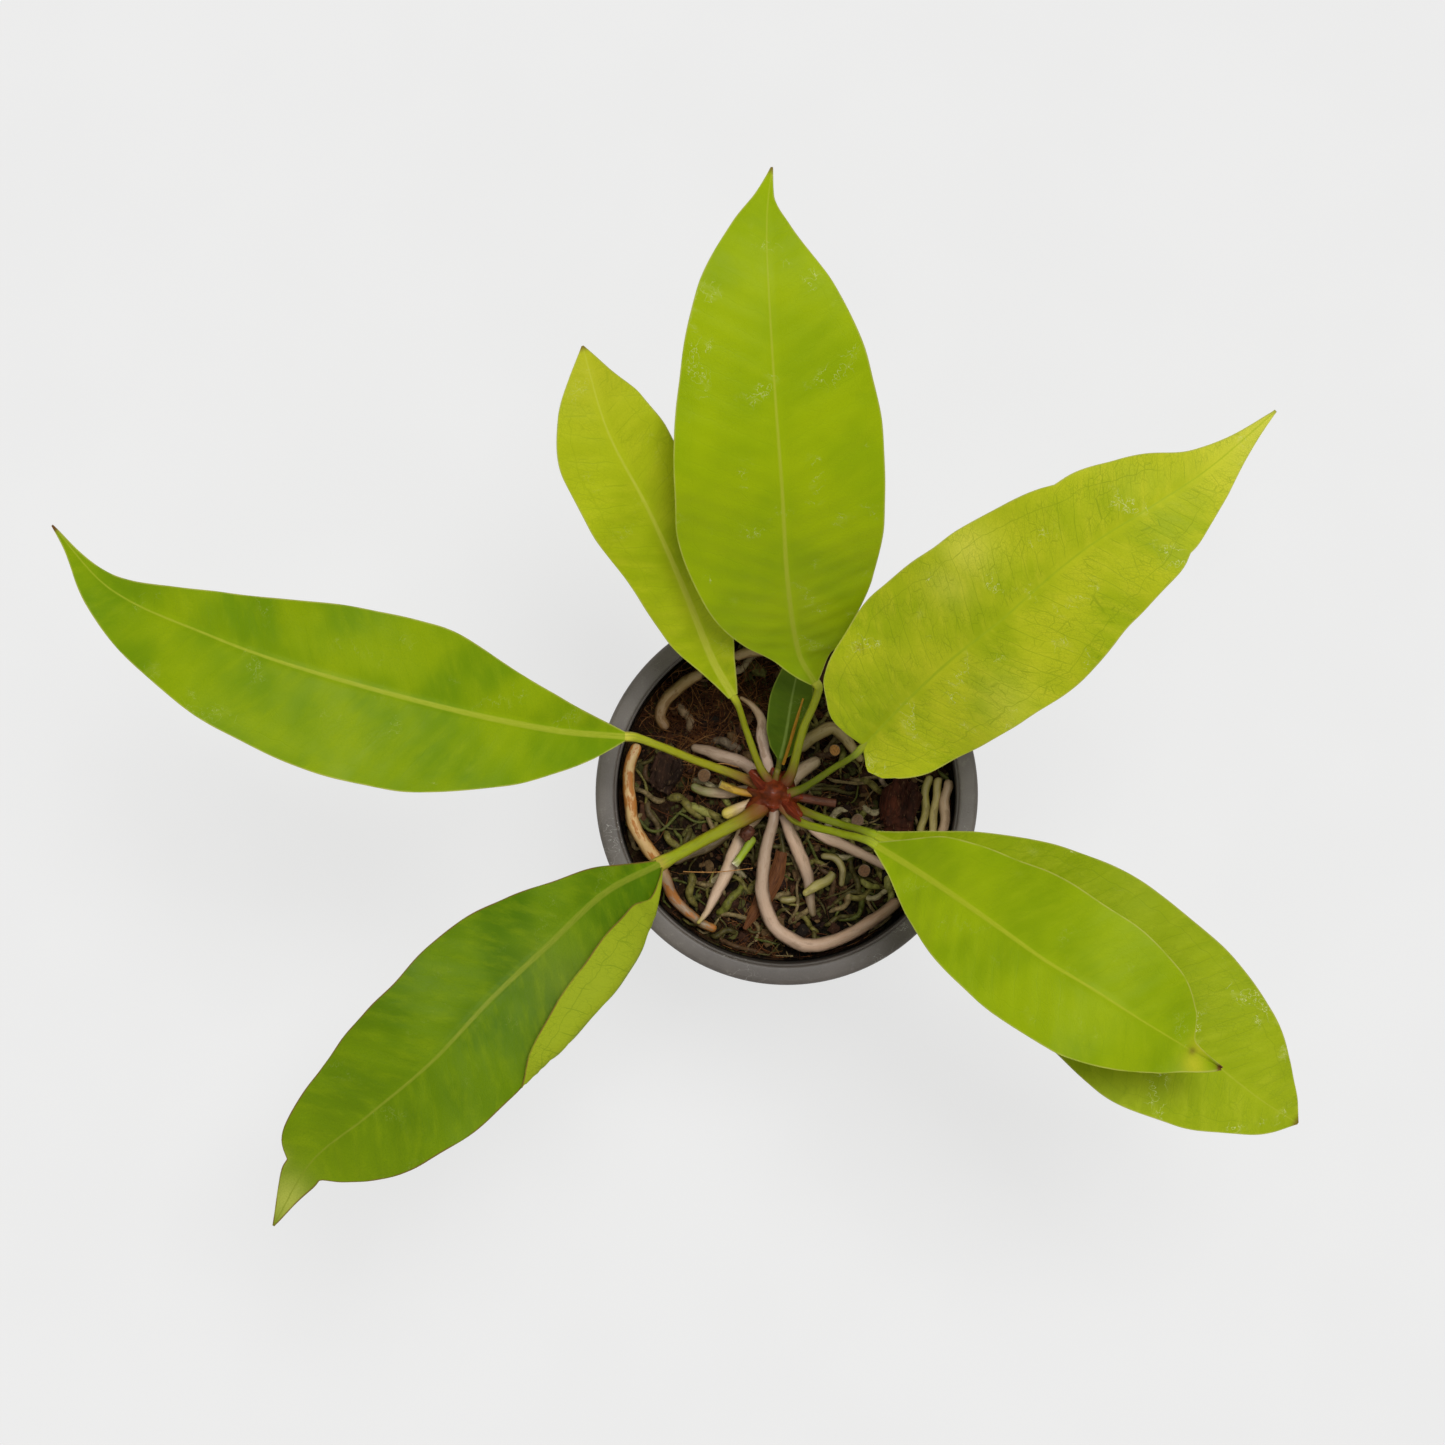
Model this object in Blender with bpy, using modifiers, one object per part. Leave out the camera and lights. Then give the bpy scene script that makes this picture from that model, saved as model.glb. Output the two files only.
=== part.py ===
"""Potted anthurium: a young strap-leaved plant with aerial roots, in a round nursery pot.

Metres, +Z up. The origin is the centre of the pot's underside, where it stands on the floor.
-Y is the front. Routes and outlines of the plant are in millimetres, with heights above the soil.
"""

import math

import bmesh
import bpy
from mathutils import Matrix, Vector

MM = 0.001
CLEARANCE = 0.3 * MM  # between any two pieces that touch
TINY = 0.001 * MM  # closer than this, two points are one

# Pot
POT_HEIGHT = 110 * MM
RIM_RADIUS = 60 * MM
RIM_WIDTH = 6 * MM  # of the flat ring on top
RIM_DROP = 9 * MM  # how far the rim hangs down outside
RIM_WALL = 2.2 * MM
COLLAR_HEIGHT = 22 * MM  # the straight stretch under the rim
BASE_RADIUS = 42 * MM
POT_WALL = 1.3 * MM
HOLE_RADIUS = 3.5 * MM
HOLE_CIRCLE = 29 * MM
HOLE_COUNT = 8
HOLE_TURN = math.radians(21)  # of the first hole from +X
POT_STEPS = 48
WALL_STEP = 0.7 * MM  # from the rim's inner edge in to the collar's wall
RING_DEPTH = 2.5 * MM  # of that step below the top
POT_EDGE = 0.8 * MM  # rounding of the pot's edges

# Substrate
SOIL_DROP = 15 * MM  # from the rim to the soil
SOIL_TOP = POT_HEIGHT - SOIL_DROP
SOIL_LUMPS = 1.6 * MM
SOIL_SPOKES = 32

# Plant
CROWN_CENTRE = Vector((-4 * MM, 0, SOIL_TOP + 7 * MM))
CROWN_RADII = Vector((6.6, 5.9, 8.6)) * MM
BLADE_THICKNESS = 0.6 * MM
RIB_HALF_WIDTH = 1.3 * MM
RIB_DEPTH = 1.6 * MM
PETIOLE_RADIUS = 1.65 * MM
ROOT_RADIUS = 2.6 * MM
CURL_RADIUS = 2.2 * MM

INNER_RADIUS = RIM_RADIUS - RIM_WIDTH - WALL_STEP  # inside the collar
DRAWN_INNER_RADIUS = 53.3  # mm, the pot for which the root routes are drawn
SPREAD = INNER_RADIUS / (DRAWN_INNER_RADIUS * MM)

# Each leaf: where its petiole leaves the crown, the midrib, and the half-widths (share of the
# midrib, left, right) seen along the leaf from its base. flap is the width of the folded-over edge.
LEAVES = {
    "left": {
        "petiole": [(-6, 1.2, 9), (-11.2, 4, 12), (-30.2, 11.3, 27)],
        "rib": [
            (-50, 18, 45),
            (-71, 20, 58),
            (-104, 27, 72),
            (-147, 39, 78),
            (-172, 48, 75),
            (-203, 62, 65),
            (-223, 82, 53),
        ],
        "outline": [
            (0, 1.5, 1.5),
            (0.08, 9.5, 6.8),
            (0.2, 19.5, 15),
            (0.35, 27.5, 23.3),
            (0.45, 28.5, 22.5),
            (0.6, 25, 17),
            (0.75, 17.5, 9.5),
            (0.87, 7.5, 3.5),
            (0.95, 2.2, 1),
            (1, 0.3, 0.3),
        ],
        "fold": (0.45, 0.1),
    },
    "front_left": {
        "petiole": [(-6.4, -2.7, 8), (-10.2, -6.1, 10.6), (-24.6, -13.5, 24)],
        "petiole_scale": 1.35,
        "rib": [
            (-39.5, -21, 43),
            (-55.5, -29, 57),
            (-72, -44, 69),
            (-89, -60, 76),
            (-106, -78, 78),
            (-126, -95, 73),
            (-143, -109, 65),
            (-156, -130, 53),
        ],
        "outline": [
            (0, 1.5, 1.5),
            (0.08, 14, 5),
            (0.18, 20.5, 12),
            (0.28, 24, 19),
            (0.4, 25, 24),
            (0.55, 24, 24.5),
            (0.7, 20.5, 20.5),
            (0.82, 12, 13.5),
            (0.9, 4.5, 6),
            (1, 0.3, 0.3),
        ],
        "fold": (0.35, 0.12),
        "flap": [(0.02, 0), (0.1, 8), (0.2, 10), (0.32, 5), (0.42, 0)],
    },
    "back_left": {
        "petiole": [(-5, 3, 10.5), (-8.4, 8.4, 14.5), (-12.8, 20, 29)],
        "petiole_scale": 0.85,
        "rib": [
            (-17, 30.5, 47),
            (-23, 41, 59),
            (-32, 63, 79),
            (-42, 85, 94),
            (-53.5, 107, 104),
            (-60.5, 131, 107),
        ],
        "outline": [
            (0, 1.5, 1.5),
            (0.1, 4, 5.5),
            (0.25, 10.5, 10.5),
            (0.45, 14.5, 13.5),
            (0.62, 18, 15.5),
            (0.75, 17.5, 16),
            (0.86, 12.5, 12.5),
            (0.94, 6, 5.5),
            (1, 0.3, 0.3),
        ],
        "fold": (0.5, 0.1),
    },
    "back": {
        "petiole": [(-0.8, 2.7, 10), (1.3, 6.2, 14), (4.7, 20, 30)],
        "rib": [
            (8, 34.5, 45),
            (3, 43, 58),
            (-1, 64, 88),
            (-3, 90, 111),
            (-5, 114, 122),
            (-7, 145, 127),
            (-7.5, 165, 124),
            (-6, 181, 118),
        ],
        "outline": [
            (0, 1.5, 1.5),
            (0.08, 6.5, 11),
            (0.16, 16, 17),
            (0.28, 25.5, 25),
            (0.42, 31.3, 29),
            (0.55, 30.3, 30),
            (0.68, 26.5, 27),
            (0.8, 20.5, 18.5),
            (0.9, 10, 6.5),
            (0.95, 4, 1.5),
            (1, 0.3, 0.3),
        ],
        "fold": (0.3, 0.06),
    },
    "back_right": {
        "petiole": [(-0.5, -0.5, 10), (5.1, 1.8, 14), (14.5, 8.6, 35)],
        "rib": [
            (22.3, 15, 57),
            (36, 30, 74),
            (48, 41.5, 87),
            (61, 52, 97),
            (73, 63, 104),
            (86, 73.5, 110),
            (101, 83, 113),
            (120, 95.5, 108),
            (141, 113, 97),
        ],
        "outline": [
            (0, 1.5, 1.5),
            (0.012, 12, 13),
            (0.04, 17.5, 18),
            (0.08, 23, 21.5),
            (0.16, 27, 25.5),
            (0.26, 29.8, 27),
            (0.42, 28.5, 28.5),
            (0.56, 23, 25.5),
            (0.7, 17, 20),
            (0.82, 7.5, 10),
            (0.91, 3, 4),
            (1, 0.3, 0.3),
        ],
        "fold": (0.35, 0.08),
    },
    "front_right": {
        "petiole": [(-2.1, -3, 10), (2.9, -8.2, 13), (14.5, -11.4, 33)],
        "rib": [
            (26.5, -15, 55),
            (38, -22, 68),
            (50, -30, 81),
            (62, -38.5, 91),
            (74, -47, 98),
            (86.5, -54.5, 102),
            (103, -65, 101),
            (126, -79, 90),
        ],
        "outline": [
            (0, 1.5, 1.5),
            (0.07, 6.3, 5),
            (0.18, 14, 13),
            (0.32, 19, 18.5),
            (0.5, 23, 21.5),
            (0.64, 22.5, 21.5),
            (0.78, 18.5, 16.5),
            (0.87, 11, 11),
            (0.91, 2.8, 7),
            (1, 0.3, 0.3),
        ],
        "fold": (0.3, -0.02),
    },
    "right": {
        "petiole": [(-0.4, -2.1, 6), (4.6, -5.2, 8), (16.5, -9.3, 18)],
        "rib": [
            (27, -12.5, 33),
            (43, -19, 46),
            (63.5, -29.5, 57),
            (87, -46, 65),
            (110.5, -65, 68),
            (130, -82, 65),
            (143, -92, 60),
            (154, -99, 53),
        ],
        "outline": [
            (0, 1.5, 1.5),
            (0.08, 5.6, 5.5),
            (0.2, 13.5, 13.5),
            (0.35, 23, 23),
            (0.5, 28, 28),
            (0.65, 27.8, 29.5),
            (0.8, 23, 22),
            (0.9, 15, 12.5),
            (0.96, 7.5, 6),
            (1, 0.3, 0.3),
        ],
        "fold": (0.3, 0.05),
    },
    "young": {
        "petiole": [(-4, 2.5, 8.8)],
        "petiole_scale": 0.7,
        "rib": [(-2, 11, 14), (-0.5, 18, 20), (1.5, 31, 31), (4, 42, 38), (6, 48, 40)],
        "outline": [
            (0, 1.2, 1.2),
            (0.15, 3, 3),
            (0.4, 4.2, 4.2),
            (0.6, 4.2, 4.2),
            (0.85, 2, 2),
            (1, 0.3, 0.3),
        ],
        "fold": (0.3, 0.2),
    },
}

# Stations along a blade's midrib where its sections lie, closer at both ends.
BLADE_STATIONS = (0, 0.015, 0.06, 0.13, 0.22, 0.32, 0.43, 0.54, 0.65, 0.75, 0.84, 0.92, 1)
COLUMNS = 3  # across one half of a blade
CURLED_COLUMNS = 8

# Roots: (x, y, height) and their thickness as a share of ROOT_RADIUS, at the start, middle and end.
ROOTS = {
    "root_left_wall": (
        [
            (-46.6, 15.6, 8),
            (-49.4, 8, 9.5),
            (-48.7, -6.1, 9),
            (-45.3, -15, 8),
            (-41, -21, 6),
            (-34.5, -34, 3.4),
            (-27.5, -40.5, 3.2),
            (-22, -43, 3.2),
        ],
        (0.8, 0.95, 0.6),
    ),
    "root_front_left": (
        [
            (-6.3, -3.5, 2.7),
            (-10.3, -8.6, 3.2),
            (-14, -13, 4.8),
            (-18.4, -23.8, 6.4),
            (-24.3, -36, 7.5),
            (-28, -41, 7.6),
        ],
        (0.75, 1.05, 0.3),
    ),
    "root_front_loop": (
        [
            (-3.8, -2.5, 8.5),
            (-4.2, -8.5, 9.6),
            (-5.8, -15, 9.4),
            (-7.7, -25.7, 8.5),
            (-6.7, -35.4, 6.5),
            (-2.6, -43.2, 5),
            (4.6, -47.6, 4.3),
            (13, -47.2, 4.3),
            (22.6, -43, 4.3),
            (30.5, -37.8, 4.3),
            (35.5, -33.5, 4.3),
        ],
        (0.75, 1.05, 0.9),
    ),
    "root_front": (
        [(-2.8, -2, 5), (0, -9, 5.6), (2.8, -16, 5.4), (6, -24, 4.5), (7.5, -33, 3.6), (8.6, -39, 2.4)],
        (0.72, 1, 0.5),
    ),
    "root_right_front": (
        [(-1, -1.2, 2.6), (2.8, -5, 3), (7, -9.6, 3.8), (13, -14, 4), (22, -18.3, 3.4), (32, -23.5, 2.4)],
        (0.65, 0.85, 0.6),
    ),
    "root_left_stub": (
        [(-7, -0.9, 4.8), (-13, -3.9, 5), (-16.8, -5.6, 5), (-20.3, -6.9, 4.8)],
        (0.6, 0.85, 0.9),
    ),
    "root_left_pink": (
        [(-8, 0.9, 2.3), (-14, 0.7, 2.5), (-20.3, 0.2, 2.8), (-26, 0.5, 2.6), (-30, 2.5, 2.4)],
        (0.6, 0.8, 0.6),
    ),
    "root_back_up": (
        [
            (-5.2, 3, 6.2),
            (-5.9, 9, 9.2),
            (-7.7, 17.5, 11),
            (-7.6, 22.5, 12),
            (-10.9, 27.5, 12.5),
            (-14.6, 30.3, 12),
        ],
        (0.75, 0.8, 0.25),
    ),
    "root_back_left_arch": (
        [
            (-7.3, 3.8, 3.4),
            (-12, 8.2, 4.2),
            (-16.8, 10.8, 4.4),
            (-21.2, 12.1, 4),
            (-25.6, 13.6, 3.2),
            (-30, 14.6, 2.4),
        ],
        (0.8, 0.95, 0.6),
    ),
    "root_back_right": (
        [(-1, 1, 3.5), (2.7, 5, 4), (6.5, 8.4, 4), (10.5, 10.8, 3.6)],
        (0.9, 1.05, 0.9),
    ),
    "root_back_right_bend": (
        [
            (3.4, 13.5, 3),
            (7.5, 17, 3.4),
            (11.9, 20, 4),
            (15, 20.6, 4),
            (18.5, 17.6, 3.6),
            (21, 14, 3),
            (24, 10, 2.6),
        ],
        (0.95, 0.95, 0.55),
    ),
    "root_back_left_wall": (
        [
            (-26.6, 37.8, 3.2),
            (-32, 35, 4),
            (-36.4, 31, 4.4),
            (-39, 27, 4.2),
            (-39.6, 23.7, 3.6),
            (-37.6, 20.2, 2.8),
        ],
        (0.8, 0.95, 0.8),
    ),
    "root_back_wall": ([(-16.5, 43, 2.6), (-11.4, 44.4, 3.4), (-6, 44.6, 2.6)], (0.7, 0.8, 0.7)),
    "rootlet_right_inner": ([(45.5, 5.6, 3.4), (43.6, -2.8, 4.4), (42.3, -13, 2.6)], (0.5, 0.55, 0.5)),
    "rootlet_right_middle": ([(48.3, 5, 4.4), (47.1, -2.7, 5.4), (45.8, -13, 3.4)], (0.5, 0.55, 0.5)),
    "rootlet_right_outer": ([(51, 4.4, 5), (50.4, -4.3, 6.4), (48.8, -13, 5)], (0.6, 0.68, 0.6)),
    "root_under_petiole": (
        [(-17.5, -12.6, 1.9), (-22, -15.4, 2.5), (-28, -18.4, 2.6), (-36, -21.8, 2.3)],
        (0.6, 0.8, 0.6),
    ),
    "root_green_tip": (
        [(14.6, -25, 4), (11.5, -27.8, 7.4), (8.5, -30.2, 9), (5.2, -31.8, 8.4)],
        (0.6, 0.75, 0.5),
    ),
    "root_green_left": ([(3.2, -33.2, 2.4), (0.6, -33.9, 2.8), (-2, -33.6, 2.2)], (0.5, 0.55, 0.5)),
    "root_green_hook": (
        [(11, -19.5, 2.4), (15, -21, 3), (17.6, -24.5, 3), (17.4, -29.5, 2.4)],
        (0.5, 0.55, 0.4),
    ),
}

# Cut petiole stubs and a young shoot on the crown: route, radius in mm at the start and the end.
STUBS = {
    "shoot_front": ([(-10.2, -13.6, 10.5), (-13.6, -18.6, 11.2), (-16.4, -22.4, 11.6)], (1.7, 1.5)),
    "stub_right": ([(-1, 0, 8), (4.3, -1.2, 8.6), (9.9, -2.3, 9), (15.5, -3, 9)], (1.6, 1.5)),
    "stub_left": ([(-8, -0.2, 7), (-13, 0.2, 7.4), (-17.1, 1.4, 8.2), (-20.9, 3, 9)], (1.3, 1.4)),
}

# Round ends of cut roots that stand up out of the soil: x, y, top, radius, in mm.
CUT_ROOTS = {
    "cut_root_back": (15.2, 13.6, 8.4, 1.7),
    "cut_root_left": (-25.9, 5.6, 4.4, 2.0),
    "cut_root_right": (22.5, -8.6, 4.4, 1.9),
    "cut_root_front": (24.6, -24.4, 4.4, 1.9),
}

# Bark chips: centre x, y, height of the centre, length, width, thickness, turn in degrees.
CHIPS = {
    "chip_right": (36.2, -3, 4.3, 17, 9.5, 7, 82),
    "chip_back": (9, 36, 3.2, 13, 9, 5, 20),
    "chip_left": (-38, 6.5, 2.7, 12, 8, 4, 70),
}
COIR_CENTRE = (-28, 26, 3.4)
COIR_RADII = (6, 7, 3)

# Dried sheaths: midrib and half-width in mm at its start, middle and end.
SHEATHS = {
    "sheath_back_left": ([(-5.8, 0.8, 13), (-8.8, 3.4, 16), (-11.8, 6.8, 18.5)], (2, 1.5, 0.3)),
    "sheath_front_right": ([(-1.5, -2, 12), (1.2, -5, 15.8), (4.2, -8.4, 19.2)], (2.8, 1.9, 0.3)),
    "sheath_dried": (
        [(-1.3, -20.5, 1.6), (-3.4, -27.5, 1.5), (-8.2, -34.5, 1.5), (-13.2, -42.5, 1.6)],
        (1.4, 2.3, 0.5),
    ),
    "strip_back": ([(-1.2, 9, 15.5), (0.6, 15, 22), (2.6, 22.5, 30.6), (4.6, 29.5, 38)], (0.8, 0.8, 0.4)),
}
SHEATH_THICKNESS = 0.5 * MM
SHEATH_STATIONS = 6

COLOURS = {
    "pot": ((0.13, 0.115, 0.1), 0.55),
    "substrate": ((0.05, 0.03, 0.018), 0.95),
    "crown": ((0.22, 0.03, 0.02), 0.45),
    "petiole": ((0.28, 0.36, 0.03), 0.4),
    "blade": ((0.27, 0.42, 0.01), 0.38),
    "root": ((0.42, 0.33, 0.26), 0.6),
    "rootlet": ((0.34, 0.36, 0.14), 0.55),
    "bark": ((0.09, 0.035, 0.02), 0.9),
    "coir": ((0.14, 0.06, 0.025), 0.95),
    "dry": ((0.2, 0.08, 0.045), 0.8),
}


def clear_scene():
    for obj in list(bpy.data.objects):
        bpy.data.objects.remove(obj)


def make_collection(name):
    collection = bpy.data.collections.new(name)
    bpy.context.scene.collection.children.link(collection)
    return collection


def material(kind):
    name = f"{kind}_material"
    if name in bpy.data.materials:
        return bpy.data.materials[name]
    colour, roughness = COLOURS[kind]
    mat = bpy.data.materials.new(name)
    mat.use_nodes = True
    shader = mat.node_tree.nodes["Principled BSDF"]
    shader.inputs["Base Color"].default_value = (*colour, 1)
    shader.inputs["Roughness"].default_value = roughness
    return mat


def add_object(name, mesh, kind, collection):
    obj = bpy.data.objects.new(name, mesh)
    collection.objects.link(obj)
    obj.data.materials.append(material(kind))
    obj.data.shade_smooth()
    obj.data.set_sharp_from_angle(angle=math.radians(50))
    return obj


def subtract(obj, cutter):
    cut = obj.modifiers.new(f"clear_of_{cutter.name}", "BOOLEAN")
    cut.operation = "DIFFERENCE"
    cut.object = cutter
    return cut


def smooth_value(keys, at, limited=True):
    """The value at a place on the smooth curve through keys, a list of (place, value)."""
    at = min(max(at, keys[0][0]), keys[-1][0])
    i = next(k for k in range(len(keys) - 1) if at <= keys[k + 1][0])
    rises = [(b[1] - a[1]) / (b[0] - a[0]) for a, b in zip(keys, keys[1:])]

    def slope(k):
        if k in (0, len(keys) - 1):
            return rises[min(k, len(rises) - 1)]
        before, after = rises[k - 1], rises[k]
        if not limited:
            return (keys[k + 1][1] - keys[k - 1][1]) / (keys[k + 1][0] - keys[k - 1][0])
        if before * after <= 0:
            return 0
        return 2 * before * after / (before + after)

    (x0, y0), (x1, y1) = keys[i], keys[i + 1]
    step = x1 - x0
    t = (at - x0) / step
    return (
        (2 * t**3 - 3 * t**2 + 1) * y0
        + (t**3 - 2 * t**2 + t) * step * slope(i)
        + (3 * t**2 - 2 * t**3) * y1
        + (t**3 - t**2) * step * slope(i + 1)
    )


class Path:
    """A smooth curve through points, read by its share of the length."""

    def __init__(self, points):
        lengths = [0]
        for a, b in zip(points, points[1:]):
            lengths.append(lengths[-1] + (b - a).length)
        self.length = lengths[-1]
        self.axes = [[(l / lengths[-1], p[k]) for l, p in zip(lengths, points)] for k in range(3)]

    def point(self, at):
        return Vector([smooth_value(keys, at, limited=False) for keys in self.axes])

    def direction(self, at, reach=0.01):
        return (self.point(min(at + reach, 1)) - self.point(max(at - reach, 0))).normalized()


def above_soil(x, y, height):
    """A point of the plant, from millimetres and a height above the soil."""
    return Vector((x * MM, y * MM, SOIL_TOP + height * MM))


def in_pot(x, y, height):
    """A point of a root, which spreads out as far as the pot lets it."""
    return above_soil(x * SPREAD, y * SPREAD, height)


def loft(rings):
    """A closed mesh through rings of equally many points, with both ends capped."""
    bm = bmesh.new()
    rows = [[bm.verts.new(p) for p in ring] for ring in rings]
    count = len(rows[0])
    for lower, upper in zip(rows, rows[1:]):
        for i in range(count):
            j = (i + 1) % count
            bm.faces.new((lower[i], lower[j], upper[j], upper[i]))
    bm.faces.new(reversed(rows[0]))
    bm.faces.new(rows[-1])
    bmesh.ops.recalc_face_normals(bm, faces=bm.faces)
    mesh = bpy.data.meshes.new("loft")
    bm.to_mesh(mesh)
    bm.free()
    return mesh


def tube(name, path, radii, kind, collection, samples=9, sides=2):
    """A round stem along a path. radii are its radius at the start, the middle and the end."""
    curve = bpy.data.curves.new(name, "CURVE")
    curve.dimensions = "3D"
    curve.bevel_depth = 1
    curve.bevel_resolution = sides
    curve.use_fill_caps = True
    spline = curve.splines.new("POLY")
    spline.points.add(samples - 1)
    keys = [(k / (len(radii) - 1), r) for k, r in enumerate(radii)]
    for k in range(samples):
        at = k / (samples - 1)
        spline.points[k].co = (*path.point(at), 1)
        spline.points[k].radius = smooth_value(keys, at)
    guide = bpy.data.objects.new(f"{name}_guide", curve)
    collection.objects.link(guide)
    evaluated = guide.evaluated_get(bpy.context.evaluated_depsgraph_get())
    mesh = bpy.data.meshes.new_from_object(evaluated)
    bpy.data.objects.remove(guide)
    bm = bmesh.new()
    bm.from_mesh(mesh)
    bmesh.ops.remove_doubles(bm, verts=bm.verts, dist=TINY)
    bmesh.ops.recalc_face_normals(bm, faces=bm.faces)
    bm.to_mesh(mesh)
    bm.free()
    mesh.materials.clear()
    return add_object(name, mesh, kind, collection)


def ellipsoid(name, centre, radii, kind, collection, segments=16, rings=10):
    bm = bmesh.new()
    bmesh.ops.create_uvsphere(bm, u_segments=segments, v_segments=rings, radius=1)
    bmesh.ops.scale(bm, vec=radii, verts=bm.verts)
    bmesh.ops.translate(bm, vec=centre, verts=bm.verts)
    mesh = bpy.data.meshes.new(name)
    bm.to_mesh(mesh)
    bm.free()
    return add_object(name, mesh, kind, collection)


def as_cutter(obj):
    obj.hide_render = True
    obj.display_type = "WIRE"
    return obj


def wall_radius(z):
    """The inside radius of the pot's wall at a height."""
    collar_foot = POT_HEIGHT - COLLAR_HEIGHT
    if z >= collar_foot:
        return INNER_RADIUS
    narrow = BASE_RADIUS - POT_WALL
    top = INNER_RADIUS - POT_WALL
    return narrow + (top - narrow) * (z - POT_WALL) / (collar_foot - POT_WALL)


def pot_profile():
    """Half section of the pot, from the middle of its floor, up the inside and down the outside."""
    top, foot = POT_HEIGHT, POT_HEIGHT - COLLAR_HEIGHT
    edge = POT_EDGE
    rim_inside = RIM_RADIUS - RIM_WIDTH
    outer_collar = INNER_RADIUS + POT_WALL
    return [
        (0, POT_WALL),
        (BASE_RADIUS - POT_WALL, POT_WALL),
        (wall_radius(foot - TINY), foot - POT_WALL),
        (INNER_RADIUS, foot),
        (INNER_RADIUS, top - RING_DEPTH),
        (rim_inside, top - RING_DEPTH),
        (rim_inside, top - edge / 2),
        (rim_inside + edge / 2, top),
        (RIM_RADIUS - edge, top),
        (RIM_RADIUS - edge / 3, top - edge / 3),
        (RIM_RADIUS, top - edge),
        (RIM_RADIUS - edge, top - RIM_DROP),
        (RIM_RADIUS - RIM_WALL, top - RIM_DROP),
        (RIM_RADIUS - RIM_WALL, top - RIM_WALL - edge),
        (outer_collar, top - RIM_WALL - edge),
        (outer_collar, foot - POT_WALL),
        (outer_collar - POT_WALL, foot - 2 * POT_WALL),
        (BASE_RADIUS, 2 * edge),
        (BASE_RADIUS - edge, 0),
        (0, 0),
    ]


def make_hole_cutter(cutters):
    """The drainage holes, as pins in a ring through the pot's floor."""
    bm = bmesh.new()
    for k in range(HOLE_COUNT):
        angle = HOLE_TURN + 2 * math.pi * k / HOLE_COUNT
        place = Vector((HOLE_CIRCLE * math.cos(angle), HOLE_CIRCLE * math.sin(angle), 0))
        bmesh.ops.create_cone(
            bm,
            cap_ends=True,
            segments=12,
            radius1=HOLE_RADIUS,
            radius2=HOLE_RADIUS,
            depth=6 * POT_WALL,
            matrix=Matrix.Translation(place),
        )
    mesh = bpy.data.meshes.new("holes")
    bm.to_mesh(mesh)
    bm.free()
    return as_cutter(add_object("holes", mesh, "pot", cutters))


def make_pot(collection, cutters):
    mesh = bpy.data.meshes.new("pot")
    points = [(x, 0, z) for x, z in pot_profile()]
    mesh.from_pydata(points, [(i, i + 1) for i in range(len(points) - 1)], [])
    pot = add_object("pot", mesh, "pot", collection)
    turn = pot.modifiers.new("turn", "SCREW")
    turn.axis = "Z"
    turn.steps = turn.render_steps = POT_STEPS
    turn.use_merge_vertices = True
    turn.merge_threshold = TINY
    turn.use_smooth_shade = True
    subtract(pot, make_hole_cutter(cutters)).solver = "MANIFOLD"
    return pot


def soil_height(radius, angle):
    """The lumpy top of the substrate, which never rises over SOIL_TOP."""
    x, y = radius * math.cos(angle) / MM, radius * math.sin(angle) / MM
    lump = math.sin(0.31 * x + 0.9) * math.cos(0.27 * y) + 0.6 * math.sin(0.19 * x - 0.36 * y + 2)
    return SOIL_TOP - SOIL_LUMPS * (0.5 + lump / 3.2)


def make_substrate(collection, crown_cutter):
    ring_radii = [0.06, 0.25, 0.42, 0.6, 0.78, 0.92, 1]
    rings = []
    for share in ring_radii:
        radius = share * (wall_radius(SOIL_TOP) - CLEARANCE)
        ring = []
        for k in range(SOIL_SPOKES):
            angle = 2 * math.pi * k / SOIL_SPOKES
            z = soil_height(radius, angle)
            ring.append((radius * math.cos(angle), radius * math.sin(angle), z))
        rings.append(ring)
    foot = POT_HEIGHT - COLLAR_HEIGHT
    for z, radius in (
        (foot + CLEARANCE, INNER_RADIUS - 2 * CLEARANCE),
        (foot - POT_WALL, wall_radius(foot - POT_WALL) - 2 * CLEARANCE),
        (POT_WALL + CLEARANCE, BASE_RADIUS - POT_WALL - 2 * CLEARANCE),
    ):
        ring = []
        for k in range(SOIL_SPOKES):
            angle = 2 * math.pi * k / SOIL_SPOKES
            ring.append((radius * math.cos(angle), radius * math.sin(angle), z))
        rings.append(ring)
    substrate = add_object("substrate", loft(rings), "substrate", collection)
    subtract(substrate, crown_cutter)
    return substrate


def half_section(width, flap, fold, columns):
    """Points from the midrib to the margin of one half of a blade, as (sideways, up).

    fold is how steeply the half rises from the midrib. A flap of some width turns up and back
    over the half, round an arc.
    """
    radius = min(CURL_RADIUS, flap / 3)
    flat = width - radius
    lengths = (flat, math.pi * radius, flap)
    near_rib = min(RIB_HALF_WIDTH, 0.3 * width)
    points = []
    for k in range(columns):
        share = k / (columns - 1)
        along = near_rib + (sum(lengths) - near_rib) * share
        if along <= flat or flap < TINY:
            side = along if flap >= TINY else near_rib + (width - near_rib) * share
            points.append((side, fold * side))
            continue
        turned = min((along - flat) / radius, math.pi)
        rest = max(along - flat - lengths[1], 0)
        side = flat + radius * math.sin(turned) - rest
        points.append((side, fold * flat + radius * (1 - math.cos(turned)) + 0.1 * rest))
    return points


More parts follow.
